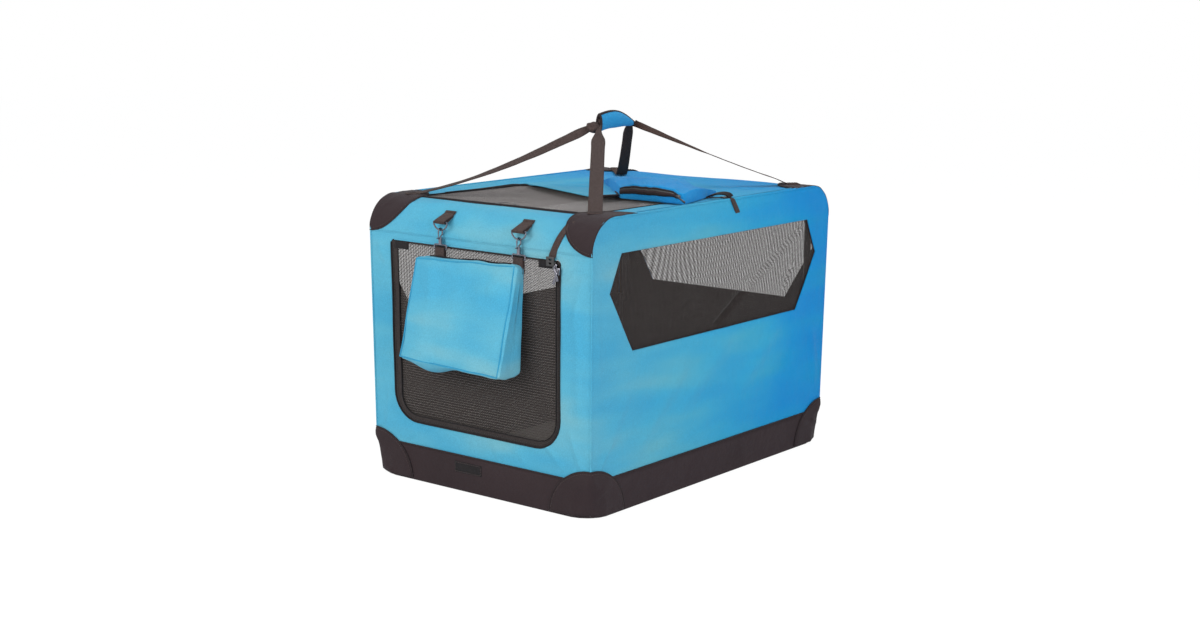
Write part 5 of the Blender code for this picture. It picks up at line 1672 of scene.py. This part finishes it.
def ties():
    """Tie straps: one hangs by the door, one lies over the right edge of the roof."""
    points = [on_top(u, v, TIE_THICKNESS) for u, v in DOOR_TIE_LINE]
    points[-1].y -= 0.003
    widths = [(0.0086, 0.0020, 0.0024)] * len(points)
    piece = strip("tie_door", points, widths, TIE_THICKNESS, WEBBING)
    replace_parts(ride_on(piece, "top"), "door_tie")
    end = points[-1]
    clip = buckle("tie_door_buckle", *DOOR_BUCKLE)
    clip.data.transform(Matrix.Translation(end + Vector((-0.001, -0.001, -0.006))))
    ride_on(clip, "top")
    top = HEIGHT + TIE_PROUD
    edge = HALF_WIDTH + TIE_PROUD
    points = [
        (0.268, 0.018, top), (0.290, 0.026, top + 0.001), (0.308, 0.033, top + 0.002),
        (edge - 0.001, 0.040, top - 0.001), (edge + 0.001, 0.047, HEIGHT - 0.010),
        (edge + 0.0004, 0.060, HEIGHT - 0.028), (edge, 0.070, HEIGHT - 0.045),
    ]
    widths = [(0, 0.0073, 0)] * 4 + [(0, 0.0073, 0.001), (0, 0.0070, 0.003), (0, 0.0066, 0.0035)]
    piece = strip("tie_side", points, widths, TIE_THICKNESS, WEBBING)
    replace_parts(ride_on(piece, "top"), "side_tie")
    hump = [
        (0.268, 0.020, top + 0.002), (0.282, 0.024, top + 0.008), (0.298, 0.030, top + 0.011),
        (0.311, 0.035, top + 0.009), (0.3165, 0.038, top + 0.003),
    ]
    fold = strip("tie_side_fold", hump, [(0.001, 0.0078, 0.002)] * len(hump), TIE_FOLD_THICKNESS, TAPE)
    ride_on(fold, "top")
    clip = buckle("tie_side_buckle", *SIDE_BUCKLE)
    turn = Matrix.Rotation(math.radians(90), 4, "X") @ Matrix.Rotation(math.radians(70), 4, "Y")
    clip.data.transform(Matrix.Translation((HALF_WIDTH - 0.012, 0.034, top + 0.0035)) @ turn)
    ride_on(clip, "top")


def buckle(name, width, height, depth):
    """Small moulded three-bar buckle, upright and facing the front."""
    bm = bmesh.new()
    bmesh.ops.create_grid(bm, x_segments=3, y_segments=5, size=0.5)
    bmesh.ops.scale(bm, vec=(width, height, 1), verts=bm.verts)
    middle = [f for f in bm.faces if abs(f.calc_center_median().x) < width / 10]
    slots = [f for f in middle if abs(abs(f.calc_center_median().y) - height / 5) < height / 20]
    bmesh.ops.delete(bm, geom=slots, context="FACES")
    raised = bmesh.ops.extrude_face_region(bm, geom=bm.faces[:])
    verts = [item for item in raised["geom"] if isinstance(item, bmesh.types.BMVert)]
    bmesh.ops.translate(bm, vec=(0, 0, depth), verts=verts)
    bmesh.ops.rotate(bm, matrix=Matrix.Rotation(math.radians(90), 3, "X"), verts=bm.verts)
    bmesh.ops.recalc_face_normals(bm, faces=bm.faces)
    piece = as_object(name, bm, PLASTIC)
    edge = piece.modifiers.new("Edges", "BEVEL")
    edge.width = depth / 5
    edge.segments = 2
    return piece


# Sliders

SLIDER_SHELL = (0.0088, 0.0118, 0.0022)
SLIDER_BAIL = (0.0024, 0.0076, 0.0010)
SLIDER_PULL = (0.0054, 0.0215, 0.0010)
BAIL_HEIGHT = 0.0024
PULL_HEIGHT = 0.0026
PULL_REACH = 0.0125
SLIDER_EDGE = 0.0003
DOOR_SLIDER_SCALE = 1.25
SECOND_SLIDER_SHIFT = (0.0085, -0.0008, -0.0075)
HATCH_SLIDERS = (("left", -0.010, 90, 0.7), ("right", 0.040, -90, -0.5))


def block(bm, size, shift=(0, 0, 0)):
    """Add a box of a size to a mesh, and return its corners."""
    verts = bmesh.ops.create_cube(bm, size=1)["verts"]
    bmesh.ops.scale(bm, vec=size, verts=verts)
    bmesh.ops.translate(bm, vec=shift, verts=verts)
    return verts


def slider(name, place, body, pull_turn=0.0, finish=PLATED):
    """Zip slider with a bail and a pull tab: zip along local Y, outwards along local Z."""
    bm = bmesh.new()
    for vert in block(bm, SLIDER_SHELL):
        if vert.co.y < 0:
            vert.co.x *= 0.7
    block(bm, SLIDER_BAIL, (0, 0, BAIL_HEIGHT))
    pull = block(bm, SLIDER_PULL)
    for vert in pull:
        if vert.co.y > 0:
            vert.co.x *= 0.6
    bmesh.ops.translate(bm, vec=(0, -PULL_REACH, PULL_HEIGHT), verts=pull)
    turned = Matrix.Rotation(pull_turn, 3, "Z")
    bmesh.ops.rotate(bm, cent=(0, 0, PULL_HEIGHT), matrix=turned, verts=pull)
    bevel(bm, bm.edges[:], SLIDER_EDGE, 2)
    bmesh.ops.transform(bm, matrix=place, verts=bm.verts)
    return ride_on(as_object(name, bm, finish), body)


def sliders():
    """Every zip's slider, with its pull hanging or lying down."""
    low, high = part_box("door_zip_slider")
    top = DOOR_HIGH_CORNER.z
    upright = Matrix.Rotation(math.radians(90), 4, "X")
    large = upright @ Matrix.Scale(DOOR_SLIDER_SCALE, 4)
    spot = Vector(((low.x + high.x) / 2, low.y - 0.0006, high.z - 0.006))
    piece = slider("door_slider", Matrix.Translation(spot) @ large, "door_slider", 0.30)
    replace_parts(fold_down(piece, top, "door_slider"), "door_zip_slider")
    spot += Vector(SECOND_SLIDER_SHIFT)
    second = slider("door_slider_second", Matrix.Translation(spot) @ large, "door_slider", -0.35)
    fold_down(second, top, "door_slider")
    spot = on_pocket(POCKET_MOUTH_END, 0, POCKET_MOUTH_LEVEL) + Vector((0, -0.0055, 0))
    sideways = upright @ Matrix.Rotation(math.radians(90), 4, "Z")
    piece = slider("pocket_slider", Matrix.Translation(spot) @ sideways, "pocket_slider", -0.5, GUNMETAL)
    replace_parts(piece, "pocket_zip_slider")
    for tag, x, way, turn in HATCH_SLIDERS:
        spot = Vector((x, HATCH_FRONT + 0.011, HEIGHT + 0.0008))
        flat = Matrix.Translation(spot) @ Matrix.Rotation(math.radians(way), 4, "Z")
        slider("hatch_slider_" + tag, flat, "hatch", turn, GUNMETAL)


# Finishes of the pieces that keep their modelled shape

KEPT = {
    "painted_steel": STEEL,
    "plated_steel": PLATED,
    "black_plastic": PLASTIC,
    "webbing": WEBBING,
    "dark_fabric": BROWN,
}


def refinish_kept():
    """Better finishes on the modelled nodes that still show."""
    slots = {item["node"]: item["material_slot"] for item in frame["record"]["subparts"]}
    for name, node in frame["nodes"].items():
        if node.hide_render:
            continue
        material = KEPT.get(slots[name])
        if material is None:
            continue
        node.data.materials.clear()
        node.data.materials.append(material)


# Setting

FLOOR_SIZE = 12
FLOOR_GLOW = 1.08
FLOOR_GLOW_SHARE = 0.88
SKY_COLOUR = (0.95, 0.97, 1.0, 1)
SKY_STRENGTH = 0.42
LIT_SPOT = (0, 0, 0.3)
SOFTBOXES = (
    ("key", (-0.9, -3.8, 1.9), (2.2, 2.2), 108, (1.0, 0.96, 0.90)),
    ("fill", (3.8, -1.6, 1.4), (2.4, 2.0), 86, (0.95, 0.97, 1.0)),
    ("overhead", (0.2, 0.4, 3.4), (2.6, 2.6), 42, (1.0, 1.0, 1.0)),
)


def stage_floor():
    """Pale floor that reads white to the camera and keeps a soft shadow."""
    made, shader = new_material("floor", (0.86, 0.86, 0.86), 0.9)
    wires = Wiring(made)
    glow = wires.node("ShaderNodeEmission")
    glow.inputs["Strength"].default_value = FLOOR_GLOW
    share = wires.maths("MULTIPLY", wires.white_rays(), FLOOR_GLOW_SHARE)
    output = next(n for n in wires.tree.nodes if n.type == "OUTPUT_MATERIAL")
    wires.blend(share, shader.outputs[0], glow.outputs[0], output)
    bm = bmesh.new()
    bmesh.ops.create_grid(bm, x_segments=2, y_segments=2, size=FLOOR_SIZE)
    as_object("floor", bm, made, smooth=False)


def world_light():
    """Dim sky for the light, plain white where the camera sees it."""
    world = bpy.data.worlds.new("studio")
    bpy.context.scene.world = world
    world.use_nodes = True
    world.node_tree.nodes.clear()
    wires = Wiring(world)
    skies = []
    for colour, strength in ((SKY_COLOUR, SKY_STRENGTH), ((1, 1, 1, 1), 1.0)):
        sky = wires.node("ShaderNodeBackground")
        sky.inputs["Color"].default_value = colour
        sky.inputs["Strength"].default_value = strength
        skies.append(sky.outputs[0])
    wires.blend(wires.white_rays(), *skies, wires.node("ShaderNodeOutputWorld"))


def lights():
    """Rectangular soft lights, all aimed at the cabin's middle."""
    for name, place, size, power, colour in SOFTBOXES:
        lamp = bpy.data.lights.new(name, "AREA")
        lamp.shape = "RECTANGLE"
        lamp.size, lamp.size_y = size
        lamp.energy = power
        lamp.color = colour
        made = bpy.data.objects.new(name, lamp)
        made.location = place
        made.rotation_euler = (Vector(LIT_SPOT) - Vector(place)).to_track_quat("-Z", "Y").to_euler()
        bpy.context.scene.collection.objects.link(made)


def camera():
    """The photograph's view."""
    azimuth, elevation = math.radians(CAMERA_AZIMUTH), math.radians(CAMERA_ELEVATION)
    roll = math.radians(CAMERA_ROLL)
    level = math.cos(elevation)
    back = Vector((math.sin(azimuth) * level, -math.cos(azimuth) * level, math.sin(elevation)))
    across = Vector((0, 0, 1)).cross(back).normalized()
    up = back.cross(across)
    right = across * math.cos(roll) + up * math.sin(roll)
    above = up * math.cos(roll) - across * math.sin(roll)
    place = Vector((0, 0, HEIGHT / 2)) + back * CAMERA_DISTANCE
    place += right * CAMERA_SLIDE_ACROSS + above * CAMERA_SLIDE_UP
    lens = bpy.data.cameras.new("camera")
    lens.sensor_width = SENSOR
    lens.lens = SENSOR * FOCAL_PIXELS / PHOTO_WIDTH
    made = bpy.data.objects.new("camera", lens)
    made.matrix_world = Matrix.Translation(place) @ Matrix((right, above, back)).transposed().to_4x4()
    bpy.context.scene.collection.objects.link(made)
    bpy.context.scene.camera = made


camera()
bpy.context.scene.view_settings.view_transform = "Standard"
stage_floor()
world_light()
lights()
base_band()
band_patches()
mat()
end_walls()
side_walls()
windows()
door()
cover()
top_patches()
hatch()
flap()
roof_pocket()
handle_grip()
handle_straps()
pouch()
pouch_loops()
hanging_tabs()
ties()
sliders()
hatch_hem()
blank_label()
refinish_kept()
